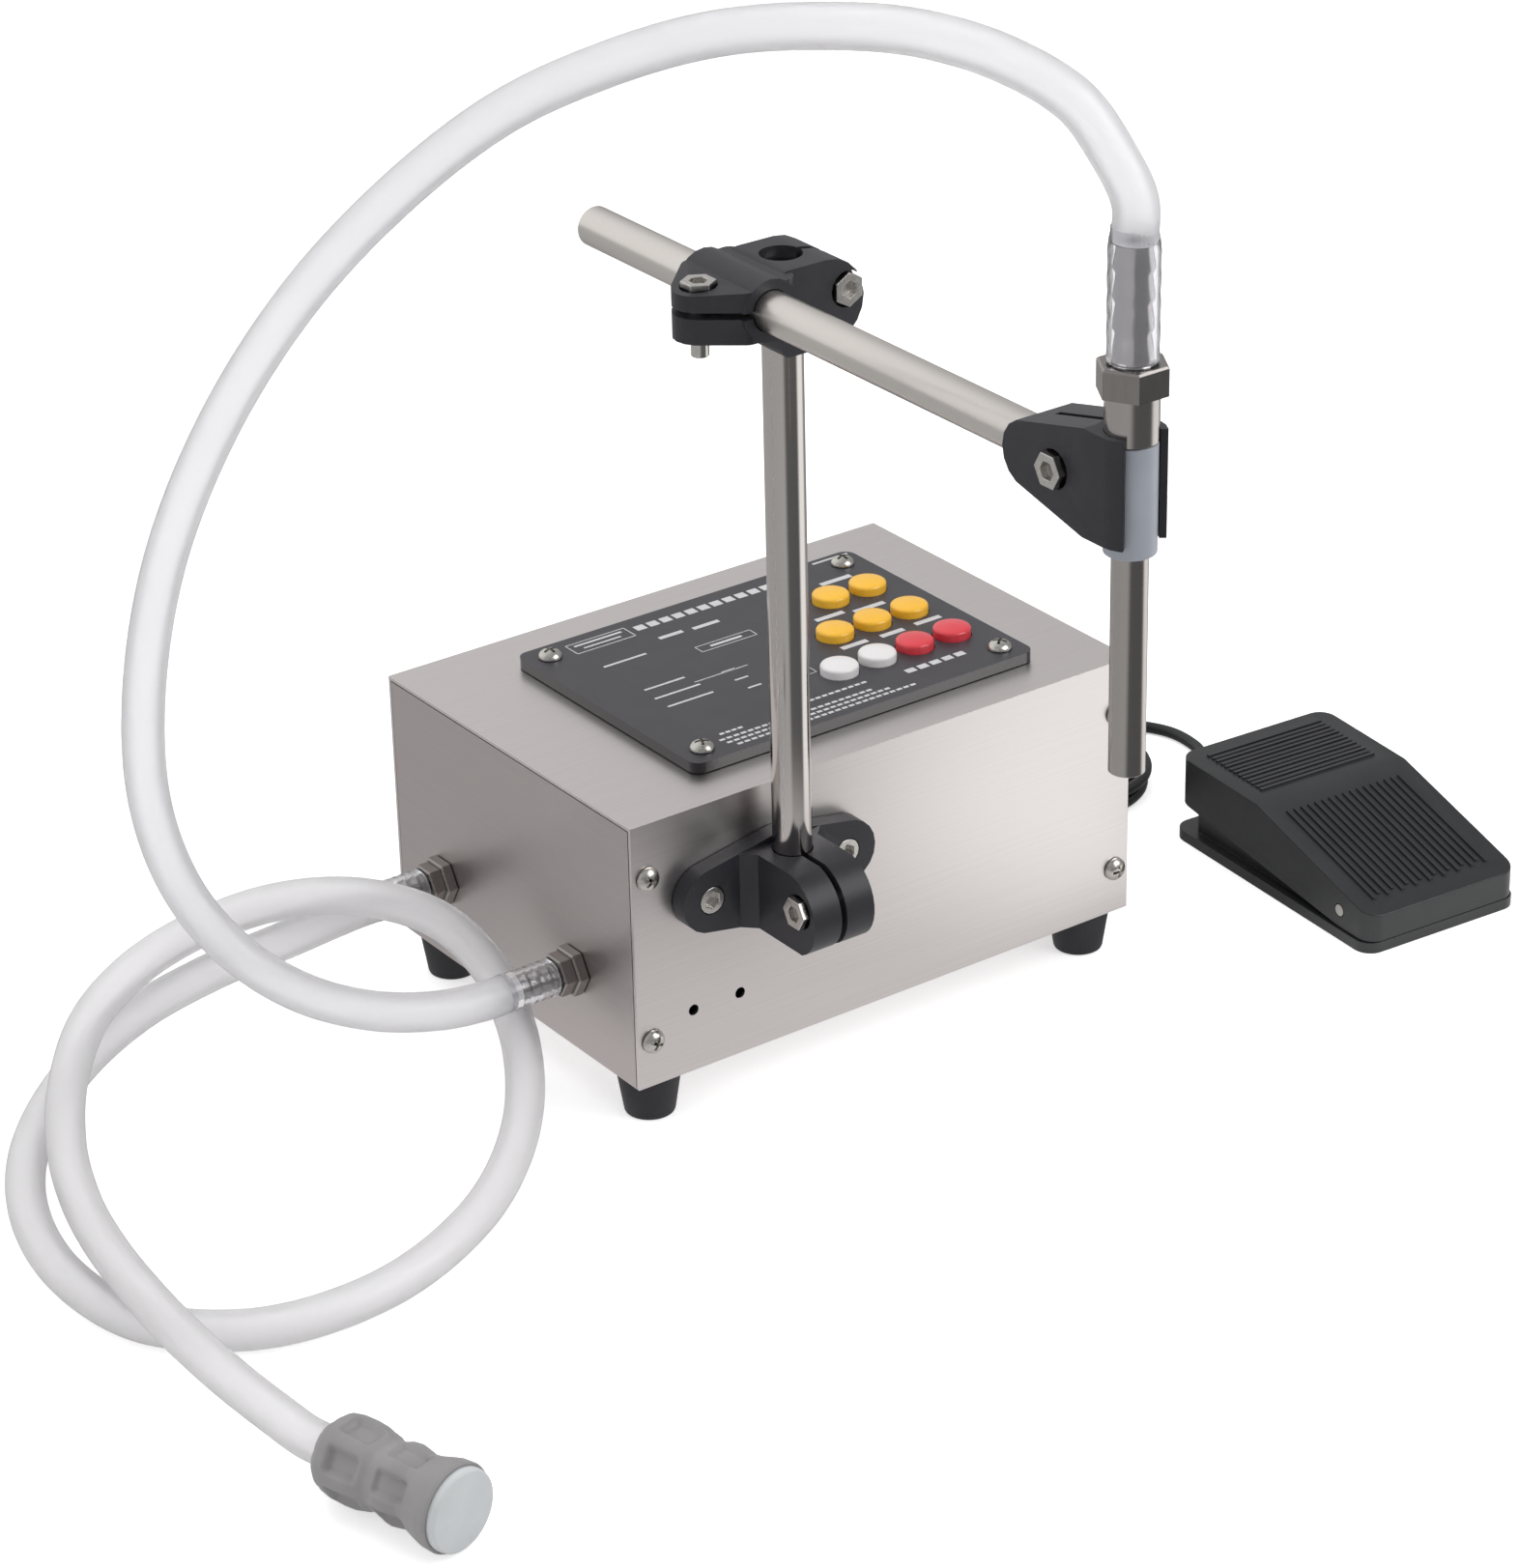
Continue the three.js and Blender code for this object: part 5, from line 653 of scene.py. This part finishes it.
screw_kinds = {"Places": "Geometry", **{name: "Vector" for name in SCREW_SIZES},
               "Facing": "Vector", "Material": "Material"}
screw_nodes, given = tree_of_nodes("pan_head_screws", screw_kinds, "Screws")
ball = add(screw_nodes, "GeometryNodeMeshUVSphere", {"Segments": 32, "Rings": 20, "Radius": 1.0})
upper_half = add(screw_nodes, "GeometryNodeTransform", {
    "Geometry": add(screw_nodes, "GeometryNodeMeshCube", {"Size": (3, 3, 4)}),
    "Translation": (0, 0, 2)})
half_ball = add(screw_nodes, "GeometryNodeMeshBoolean", {"Mesh 2": ball}, operation="INTERSECT")
screw_nodes.links.new(upper_half.outputs[0], half_ball.inputs["Mesh 2"])
dome = add(screw_nodes, "GeometryNodeTransform", {"Geometry": half_ball, "Scale": given["Head"]})
slot_cut = add(screw_nodes, "GeometryNodeTransform", {
    "Geometry": add(screw_nodes, "GeometryNodeMeshCube", {"Size": given["Slot"]}),
    "Translation": given["Head top"]})
cut_across = add(screw_nodes, "GeometryNodeTransform",
                 {"Geometry": slot_cut, "Rotation": (0, 0, math.pi / 2)})
head = add(screw_nodes, "GeometryNodeMeshBoolean", {"Mesh 1": dome, "Mesh 2": slot_cut},
           operation="DIFFERENCE")
screw_nodes.links.new(cut_across.outputs[0], head.inputs["Mesh 2"])
hanging_rod = add(screw_nodes, "GeometryNodeTransform", {
    "Geometry": add(screw_nodes, "GeometryNodeMeshCylinder",
                    {"Vertices": 24, "Radius": 1.0, "Depth": 1.0}),
    "Translation": (0, 0, -0.5)})
shank = add(screw_nodes, "GeometryNodeTransform", {
    "Geometry": hanging_rod, "Scale": given["Shank"]})
screw = add(screw_nodes, "GeometryNodeJoinGeometry", {"Geometry": head})
screw_nodes.links.new(shank.outputs[0], screw.inputs[0])
chance = add(screw_nodes, "FunctionNodeRandomValue", data_type="FLOAT", sockets={
    "Seed": SCREW_SEED, 2: 0.0, 3: math.pi / 2})
spin = add(screw_nodes, "ShaderNodeCombineXYZ", {2: chance.outputs[1]})
whole_turn = add(screw_nodes, "FunctionNodeRotateRotation", rotation_space="LOCAL", sockets={
    0: add(screw_nodes, "FunctionNodeEulerToRotation", {0: given["Facing"]}),
    1: add(screw_nodes, "FunctionNodeEulerToRotation", {0: spin})})
set_out(screw_nodes, given, screw, Rotation=whole_turn, Scale=(MM, MM, MM))


def grown(name, places, tree, values, sizes=None):
    """Turns what a tree of nodes makes at each place into a plain mesh; sizes holds the own width
    and depth of each, where they differ."""
    mesh = bpy.data.meshes.new(name)
    mesh.from_pydata(places, [], [])
    if sizes:
        own = mesh.attributes.new("own_size", "FLOAT_VECTOR", "POINT")
        for item, size in zip(own.data, sizes):
            item.vector = Vector((*size, 1)) * MM
    seed = bpy.data.objects.new(name, mesh)
    scene.collection.objects.link(seed)
    modifier = seed.modifiers.new(name, "NODES")
    modifier.node_group = tree
    for item in tree.interface.items_tree:
        if item.name in values:
            modifier[item.identifier] = values[item.name]
    bpy.context.view_layer.update()
    evaluated = seed.evaluated_get(bpy.context.evaluated_depsgraph_get())
    grown_mesh = bpy.data.meshes.new_from_object(evaluated)
    seed.modifiers.clear()
    seed.data = grown_mesh
    grown_mesh.shade_smooth()
    grown_mesh.set_sharp_from_angle(angle=math.radians(CREASE))
    return seed


# Nickel from a tumbling bath is warm and bright, a little mottled and without any direction
screw_metal = brushed("nickel_plated_screws", "#b4b0aa", "#e4e1dc", (1.2, 1.2, 1.2), (0.2, 0.34))
for kind, places, facing, corners in (
    ("cover_screw", [at(x, -0.3, z) for x in (5.5, 184.5) for z in (30.5, 85.5)],
     (math.pi / 2, 0, 0), ("left_low", "left_high", "right_low", "right_high")),
    ("plate_screw", [at(x, y, 107.6) for y in (24, 106) for x in (43, 157)],
     (0, 0, 0), ("front_left", "front_right", "back_left", "back_right")),
):
    screws = grown(f"{kind}s", places, screw_nodes,
                   {**SCREW_SIZES, "Facing": facing, "Material": screw_metal})
    fitted(screws, "machine", "polished_steel", *(f"{kind}_{corner}" for corner in corners))

# The keypad plate: black acrylic 3.5 mm thick, its edges cut and polished, under a printed grey
# film. The print is kept plain: pale bars and frames where the real one has its words, and no
# lettering.
PLATE_TOP = 107.3
PLATE_CORNER = (35, 16)
INK_THICKNESS = 0.06
# The cut edges shine like glass, while the film over them is satin with a fine tooth
acrylic = moulded("polished_black_acrylic", "#1d1c20", "#26252a", 1.0, 0.0,
                  Roughness=0.12, Coat_Weight=0.4)
film = moulded("printed_grey_film", "#323136", "#3c3b40", 0.35, 0.03, Roughness=0.38)
plate = from_cad("keypad_plate_body", "keypad_plate", acrylic)
plate.data.materials.append(film)
for face in plate.data.polygons:
    if face.normal.z > 0.9 and face.center.z > at(0, 0, PLATE_TOP - 0.5).z:
        face.material_index = 1
eased_edges(plate, 0.25)
fitted(plate, "machine", "plate_film", "keypad_plate")

# One tree of nodes lays flat bars, each of its own width and depth: here those of the print
bar_nodes, bar_given = tree_of_nodes(
    "raised_bars", {"Places": "Geometry", "Thickness": "Float", "Material": "Material"}, "Bars")
unit_bar = add(bar_nodes, "ShaderNodeCombineXYZ", {0: 1.0, 1: 1.0, 2: bar_given["Thickness"]})
bar = add(bar_nodes, "GeometryNodeMeshCube", {"Size": unit_bar})
own_size = add(bar_nodes, "GeometryNodeInputNamedAttribute", {"Name": "own_size"},
               data_type="FLOAT_VECTOR")
set_out(bar_nodes, bar_given, bar, Scale=own_size)


def framed(x, y, width, depth, line=0.35):
    """The four bars of a printed frame: its left front corner and its size."""
    return [(x + width / 2, y, width, line), (x + width / 2, y + depth, width, line),
            (x, y + depth / 2, line, depth), (x + width, y + depth / 2, line, depth)]


def blocks(x, y, width, depth, count):
    """A printed line broken into plain blocks: the place of its middle and its size."""
    step = width / count
    return [(x - width / 2 + step * (i + 0.5), y, step * 0.74, depth) for i in range(count)]


# Each bar: where its middle is from the plate's front left corner, then its width and depth
print_bars = [
    *framed(16, 86.5, 22, 7), (27, 91.6, 18, 1.0), (27, 88.9, 14, 0.8),
    *blocks(67, 90.5, 54, 3.4, 11), (121, 95.6, 14, 1.0),
    (47, 80, 9, 1.8), (60, 79.3, 10, 1.8), (25, 73.5, 16, 1.0),
    *framed(47.5, 63.4, 21, 4.2, 0.3), (58, 65.5, 12, 1.2),
    *framed(33, 47, 20, 0.2, 0.3), (25, 52, 15, 0.9), (25, 45, 17, 0.9), (25, 38, 17, 0.9),
    (46, 47.5, 5, 0.8), (46, 40.5, 5, 0.8), (46, 33.5, 5, 0.8),
    *framed(54, 29.8, 13, 4.2, 0.3), (60.5, 31.9, 9, 1.4),
    (88, 38.3, 10, 2.2), (102.5, 37.8, 9, 2.2), (117, 38.3, 10, 2.2),
    (75.5, 56.8, 9, 1.8), (94.5, 60, 11, 2.2), (108.5, 57.8, 12, 2.2),
    (94, 81.3, 11, 2.2), (112.5, 81, 12, 2.2),
    *blocks(100, 12.5, 24, 2.6, 5), *blocks(44, 9.2, 58, 1.1, 22), *blocks(47, 6.6, 62, 1.1, 24),
    *blocks(52, 4.0, 68, 1.1, 26), *blocks(60, 14.6, 30, 1.1, 12), *blocks(22, 12.6, 9, 1.1, 4),
]
# Screen ink dries flat and even, a cool white that shines less than the film
ink = moulded("screen_printed_white", "#b9b9bb", "#d0d0d2", 0.4, 0.0, Roughness=0.5)
print_places = [at(PLATE_CORNER[0] + x, PLATE_CORNER[1] + y, PLATE_TOP + INK_THICKNESS / 2)
                for x, y, _, _ in print_bars]
plate_print = grown("plate_print", print_places, bar_nodes,
                    {"Thickness": INK_THICKNESS, "Material": ink},
                    [(width, depth) for _, _, width, depth in print_bars])
fitted(plate_print, "machine", "plate_film")

# Push buttons: round caps moulded in glossy ABS, a little domed. Each stands on a switch of the
# board inside and comes up through its hole in the plate.
CAP_OUTLINE = [(0, 4), (2.4, 4), (2.4, 0), (6.1, 0), (6.1, 6.4), (6.0, 6.8), (5.72, 7.16),
               (5.3, 7.38), (4.2, 7.62), (2.6, 7.84), (1.2, 7.96), (0, 8)]
CAP_FOOT, FIRST_COLUMN, COLUMN_STEP = 102.9, 107.5, 14.7
BUTTON_ROWS = {"front": (41.4, ("white", "white", "red", "red")),
               "middle": (63.4, (None, "yellow", "yellow", "yellow")),
               "back": (85.4, (None, None, "yellow", "yellow"))}
# Glossy ABS has even, full colour and one soft highlight on each dome
CAP_TONES = {"white": ("#dad7d8", "#e5e3e3"), "red": ("#cf3440", "#dc4650"),
             "yellow": ("#eaae2a", "#f2bd3a")}
button_abs = {colour: moulded(f"moulded_{colour}_abs", *tones, 1.0, 0.01,
                              Roughness=0.24, Coat_Weight=0.2)
              for colour, tones in CAP_TONES.items()}
for row, (y, colours) in BUTTON_ROWS.items():
    for column, colour in enumerate(colours):
        if colour:
            place = at(FIRST_COLUMN + COLUMN_STEP * column, y, CAP_FOOT)
            node = f"button_{row}_{column + 1}"
            cap = made(f"{node}_cap", turned(CAP_OUTLINE, 48, place, UP), button_abs[colour], 50)
            fitted(cap, node, f"{colour}_plastic", node)

# Inside the case: a gear pump of cast aluminium, its motor in a painted can, the turned coupling
# between them, the supply in its folded zinc case and the key board, all screwed down. Their
# solids stay as they are and get their usual finishes.


def finished(node, material):
    """Gives a solid of the frame, shown as it is, its real finish."""
    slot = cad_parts[node].material_slots[0]
    slot.link = "OBJECT"
    slot.material = material


finished("control_board", moulded(
    "green_board_laminate", "#235a38", "#2f6b46", 0.6, 0.05, Roughness=0.55))
finished("pump_head", moulded(
    "cast_aluminium_pump", "#8f9092", "#a9aaac", 0.5, 0.08, Roughness=0.5, Metallic=0.9))
finished("pump_motor", moulded(
    "painted_motor_can", "#8a8b8d", "#a3a4a6", 0.5, 0.05, Roughness=0.45, Metallic=0.8))
finished("power_supply", moulded(
    "folded_zinc_case", "#9c9da0", "#b5b6b8", 2.0, 0.02, Roughness=0.4, Metallic=0.9))
finished("drive_coupling", brushed(
    "turned_steel_coupling", "#a8a6a3", "#c9c7c4", (0.5, 8, 8), (0.25, 0.35)))

# Hose fittings: stainless bulkhead tails, turned from hexagon bar with four barbs for the hose,
# and held through the left end of the case by a locknut.


def hexagon(flats, low, high, place, axis):
    """A hexagon bar piece with its six corners turned back at the high end."""
    corner = flats / math.sqrt(3)
    outline = [(0, low), (corner, low), (corner, high - 0.5), (corner * 0.93, high), (0, high)]
    return turned(outline, 6, place, axis)


def joined(*bms):
    """Several closed bodies as one mesh."""
    whole = bmesh.new()
    for bm in bms:
        mesh = bpy.data.meshes.new("part")
        bm.to_mesh(mesh)
        bm.free()
        whole.from_mesh(mesh)
        bpy.data.meshes.remove(mesh)
    return whole


def barbs(root, crest, low, high, bore):
    """A hose tail: cones that widen towards the body, so the hose slides on and grips."""
    step = (high - low) / BARB_COUNT
    profile = [(bore, low), (crest, low)]
    for i in range(BARB_COUNT):
        start = low + i * step
        profile += [(crest, start + step * 0.22), (root, start + step * 0.98)]
        if i < BARB_COUNT - 1:
            profile.append((root, start + step))
    return [*profile, (root, high), (root - 0.3, high + 0.25), (bore, high + 0.25), (bore, low)]


BULKHEAD_OUTLINE = [(0, -7), (4.1, -7), (4.5, -6.6), (4.5, 3), (0, 3)]
FITTING_BORE = 1.9
# Turning leaves fine rings round the axis, so each barb shows a narrow grey highlight
fitting_steel = brushed("turned_stainless_fitting", "#8f8b88", "#9f9b98", (0.4, 6, 6),
                        (0.2, 0.28), 0.002)
for name, y in FITTING_PLACES.items():
    place = at(0, y, FITTING_HEIGHT)
    tail = made(f"{name}_fitting_tail", joined(
        turned(barbs(3.5, 4.15, 6.9, 22, FITTING_BORE), 40, place, LEFT),
        hexagon(14, 0.3, 3.7, place, LEFT), hexagon(12, 3.7, 7.9, place, LEFT),
        turned(BULKHEAD_OUTLINE, 32, place, LEFT)), fitting_steel)
    fitted(tail, "machine", "polished_steel", f"{name}_fitting")

# On the back: the mains inlet with its rocker switch, and the gland that grips the pedal's cable,
# all moulded in black nylon and pushed or screwed into holes of the cover.
# The mould leaves them satin, with a fine even grain
inlet_plastic = moulded("moulded_black_inlet", "#1a1b1c", "#242526", 0.4, 0.04, Roughness=0.45)
for name, node, body, edge in (("mains_inlet_body", "power_inlet", "machine", 0.4),
                               ("rocker_cap", "power_rocker", "rocker", 0.5),
                               ("cable_gland_nut", "pedal_gland", "machine", 0.3)):
    part = eased_edges(from_cad(name, node, inlet_plastic), edge, 3)
    fitted(part, body, "black_plastic", node)

# The stand's clamps: glass-filled black nylon, moulded, with split bores drawn shut by plated
# bolts. The corners are softly rounded and the skin has the fine grain of its mould.
# The glass fibres make the skin greyer and duller than plain nylon
nylon = moulded("moulded_black_nylon", "#232328", "#2f2f34", 0.45, 0.07, Roughness=0.4,
                Specular_IOR_Level=0.42)
for name, node, body, edge in (("base_clamp_body", "base_clamp", "machine", 0.8),
                               ("cross_clamp_body", "cross_clamp", "cross_head", 0.8),
                               ("end_clamp_body", "end_clamp", "nozzle_holder", 0.7)):
    clamp = eased_edges(from_cad(name, node, nylon), edge, 3, 40)
    fitted(clamp, body, "black_nylon", node)

# Zinc is pale and bright on the bolts' heads, with soft patches where it has dulled
bolt_metal = brushed("zinc_plated_bolts", "#bdbab6", "#dedbd7", (1.0, 1.0, 1.0), (0.18, 0.3))
for node, body in (("base_clamp_screw_left", "machine"), ("base_clamp_screw_right", "machine"),
                   ("base_clamp_bolt", "machine"), ("cross_clamp_arm_bolt", "cross_head"),
                   ("cross_clamp_post_bolt", "cross_head"), ("end_clamp_bolt", "nozzle_holder")):
    bolt = eased_edges(from_cad(f"{node}_turned", node, bolt_metal), 0.25, 2, 40)
    fitted(bolt, body, "polished_steel", node)

# Post and arm: 12 mm stainless bar, centreless ground, with chamfered ends. The post stands in
# the base clamp, and the arm lies across it in the cross clamp and carries the nozzle.
BAR_END = [(0, 0), (5.2, 0), (5.3, 0.05), (5.95, 0.7), (6, 0.85)]
POST_LOW, POST_LENGTH = 63.6, 207.4
ARM_FRONT, ARM_HEIGHT, ARM_LENGTH = -157.9, 266, 216.4
# Grinding leaves rings so fine that a bar mirrors the room in sharp bands along its length
upright_bar = brushed("ground_stainless_post", "#cac5c2", "#d0cbc8", (14, 14, 0.25),
                      (0.13, 0.17), 0.001)
# The arm and the post are one bar: the arm's copy is painted lighter than the post's, for the light
# that falls on its top from above
lit_level_bar = brushed("ground_stainless_arm_painted_lighter", "#dad5d0", "#e0dbd6", (10, 0.25, 10),
                    (0.26, 0.31), 0.0006)
for name, node, body, low, axis, length, metal in (
    ("post_bar", "post", "stand_post", at(*POST_FOOT, POST_LOW), UP, POST_LENGTH, upright_bar),
    ("arm_bar", "arm", "cross_arm", at(NOZZLE[0], ARM_FRONT, ARM_HEIGHT), Vector((0, 1, 0)),
     ARM_LENGTH, lit_level_bar),
):
    outline = BAR_END + [(radius, length - height) for radius, height in reversed(BAR_END)]
    fitted(made(name, turned(outline, 64, low, axis), metal), body, "polished_steel", node)

# The nozzle: a drawn stainless pipe with a skirt under its hexagon and a barbed tail for the
# hose, held by friction in a sleeve of grey silicone.
NOZZLE_PLACE = at(*NOZZLE, ARM_HEIGHT)
SLEEVE_OUTLINE = [(5.2, -18.5), (6.8, -18.5), (7, -18.3), (7, 11.8), (6.8, 12), (5.2, 12),
                  (5.2, -18.5)]
PIPE_OUTLINE = [(3.9, -81), (4.7, -81), (4.9, -80.8), (4.9, 12.3), (7, 12.3), (7.15, 12.5),
                (7.15, 24.8), (7, 25), (3.9, 25), (3.9, -81)]
# Silicone is soft and a little see-through; drawn steel mirrors in long bands up the pipe, and
# the turned tail in short ones between its rings
silicone = moulded("grey_silicone_sleeve", "#8f949e", "#a7acb5", 0.6, 0.02,
                   Roughness=0.4, Transmission_Weight=0.1)
pipe_steel = brushed("drawn_stainless_pipe", "#b7b2af", "#beb9b6", (12, 12, 0.25),
                     (0.19, 0.23), 0.001)
# The tail is the same turned steel as the hexagon, painted much lighter for the highlights it shows
# under the clear hose end
lit_tail_steel = brushed("turned_nozzle_tail_painted_lighter", "#cbc8c6", "#d6d3d1", (6, 6, 0.3), (0.14, 0.2), 0.0006)
sleeve = made("sleeve_tube", turned(SLEEVE_OUTLINE, 56, NOZZLE_PLACE, UP), silicone)
fitted(sleeve, "nozzle_holder", "grey_sleeve", "nozzle_sleeve")
pipe = made("filling_pipe", turned(PIPE_OUTLINE, 56, NOZZLE_PLACE, UP), pipe_steel)
fitted(pipe, "nozzle", "polished_steel", "nozzle_pipe")
tail_outline = barbs(4.7, 5.4, 33.4, 65.05, FITTING_BORE)
for name, shape, metal in (
    ("nozzle_tail", turned(tail_outline, 48, NOZZLE_PLACE, UP), lit_tail_steel),
    ("nozzle_hexagon", hexagon(17, 25.3, 33.3, NOZZLE_PLACE, UP), fitting_steel),
):
    fitted(made(name, shape, metal), "nozzle", "polished_steel", "nozzle_barb")

# The foot pedal: a base with a hinged treadle, both moulded in black ABS with a fine grain. The
# treadle turns on a steel pin, a spring lifts it, and a micro switch sits under it.
TREADLE_LENGTH, KNEE_PLACE, KNEE_HEIGHT = 102.5, 60, 29.5
SLOPE_BEFORE_KNEE, SLOPE_BEHIND_KNEE = 0.268, 0.0235
RIM_ROUND, RIB_ROUND, RIM_BAND, RIM_DEPTH = 2.2, 0.3, 4, 0.4


def on_rim(place):
    """Whether a place of the treadle lies along the outer edge of its top."""
    x, y, z = PEDAL_TURN.inverted() @ (place - PEDAL_PLACE) / MM
    slope = SLOPE_BEFORE_KNEE if y < KNEE_PLACE else SLOPE_BEHIND_KNEE
    top = KNEE_HEIGHT + (y - KNEE_PLACE) * slope
    to_side, to_end = min(x, PEDAL_WIDTH - x), min(y, TREADLE_LENGTH - y)
    return min(to_side, to_end) < RIM_BAND and abs(z - top) < RIM_DEPTH


def moulded_rims(piece):
    """Rounds the treadle's outer edge widely and its other sharp edges only a little."""
    bm = bmesh.new()
    bm.from_mesh(piece.data)
    share = bm.edges.layers.float.new("bevel_weight_edge")
    for edge in bm.edges:
        if edge.calc_face_angle(0) > math.radians(40):
            is_rim = all(on_rim(corner.co) for corner in edge.verts)
            edge[share] = 1 if is_rim else RIB_ROUND / RIM_ROUND
    bm.to_mesh(piece.data)
    bm.free()
    eased_edges(piece, RIM_ROUND, 4).modifiers[0].limit_method = "WEIGHT"
    return piece


# ABS from a grained mould is black with a broken, silky shine
pedal_abs = moulded("moulded_black_abs_pedal", "#1f2022", "#2a2b2d", 0.5, 0.06, Roughness=0.34)
base_shell = from_cad("pedal_base_shell", "pedal_base", pedal_abs)
fitted(eased_edges(base_shell, 0.5, 2, 40), "machine", "black_plastic", "pedal_base")
treadle_shell = from_cad("treadle_shell", "pedal_treadle", pedal_abs)
fitted(moulded_rims(treadle_shell), "treadle", "black_plastic", "pedal_treadle")

# The treadle's ribs are moulded with it, long ones on the slope and cross ones behind the knee.
# These stand between the shell's own ribs, sunk half their height into it.
RIB_WIDTH, RIB_SUNK_HEIGHT, LONG_RIB, CROSS_RIB = 1.3, 1.4, 46, 47.4
long_rib_places = [(11.33 + 5.7625 * i, -30) for i in range(8)]
cross_rib_places = [(PEDAL_WIDTH / 2, 9.375 + 4.75 * i) for i in range(6)]
for name, places, size, slope in (
    ("treadle_long_ribs", long_rib_places, (RIB_WIDTH, LONG_RIB), SLOPE_BEFORE_KNEE),
    ("treadle_cross_ribs", cross_rib_places, (CROSS_RIB, RIB_WIDTH), SLOPE_BEHIND_KNEE),
):
    ribs = grown(name, [Vector((x, y, 0)) * MM for x, y in places], bar_nodes,
                 {"Thickness": RIB_SUNK_HEIGHT, "Material": pedal_abs}, [size] * len(places))
    onto_knee = Matrix.Translation(on_pedal(0, KNEE_PLACE, KNEE_HEIGHT)) @ PEDAL_TURN
    ribs.data.transform(onto_knee @ Matrix.Rotation(math.atan(slope), 4, "X"))
    fitted(eased_edges(ribs, RIB_ROUND, 2, 40), "treadle", "black_plastic")

# The pedal's small parts: a rubber relief pushed over the cable's end, a spring wound from steel
# wire, the drawn steel pin and the micro switch.
RELIEF_OUTLINE = [(0, 0.3), (4.4, 0.3), (4.6, 0.5), (4.6, 1.7), (4.4, 1.9), (3.6, 2),
                  (2.6, 11.8), (2.5, 12), (0, 12)]
# The relief is matt like the feet, and the wire and pin have the dull gleam of oiled steel
relief_rubber = moulded("cable_relief_rubber", "#17181a", "#202123", 0.5, 0.03, Roughness=0.55)
spring_wire = brushed("spring_wire", "#9b9895", "#bfbcb8", (1, 1, 1), (0.25, 0.35))
relief_shape = turned(RELIEF_OUTLINE, 32, on_pedal(PEDAL_WIDTH / 2, 94.8, RELIEF_HEIGHT),
                      PEDAL_TURN.to_3x3() @ Vector((0, 1, 0)))
fitted(made("pedal_cable_relief", relief_shape, relief_rubber), "machine", "rubber",
       "pedal_relief")
return_spring = from_cad("treadle_return_spring", "pedal_spring", spring_wire)
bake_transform(return_spring)
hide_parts("pedal_spring")
finished("pedal_pin", brushed(
    "drawn_steel_pin", "#aaa7a3", "#cfccc8", (8, 0.5, 0.5), (0.25, 0.35)))
finished("pedal_switch", moulded(
    "micro_switch_case", "#1b1b1d", "#252527", 0.5, 0.03, Roughness=0.5))
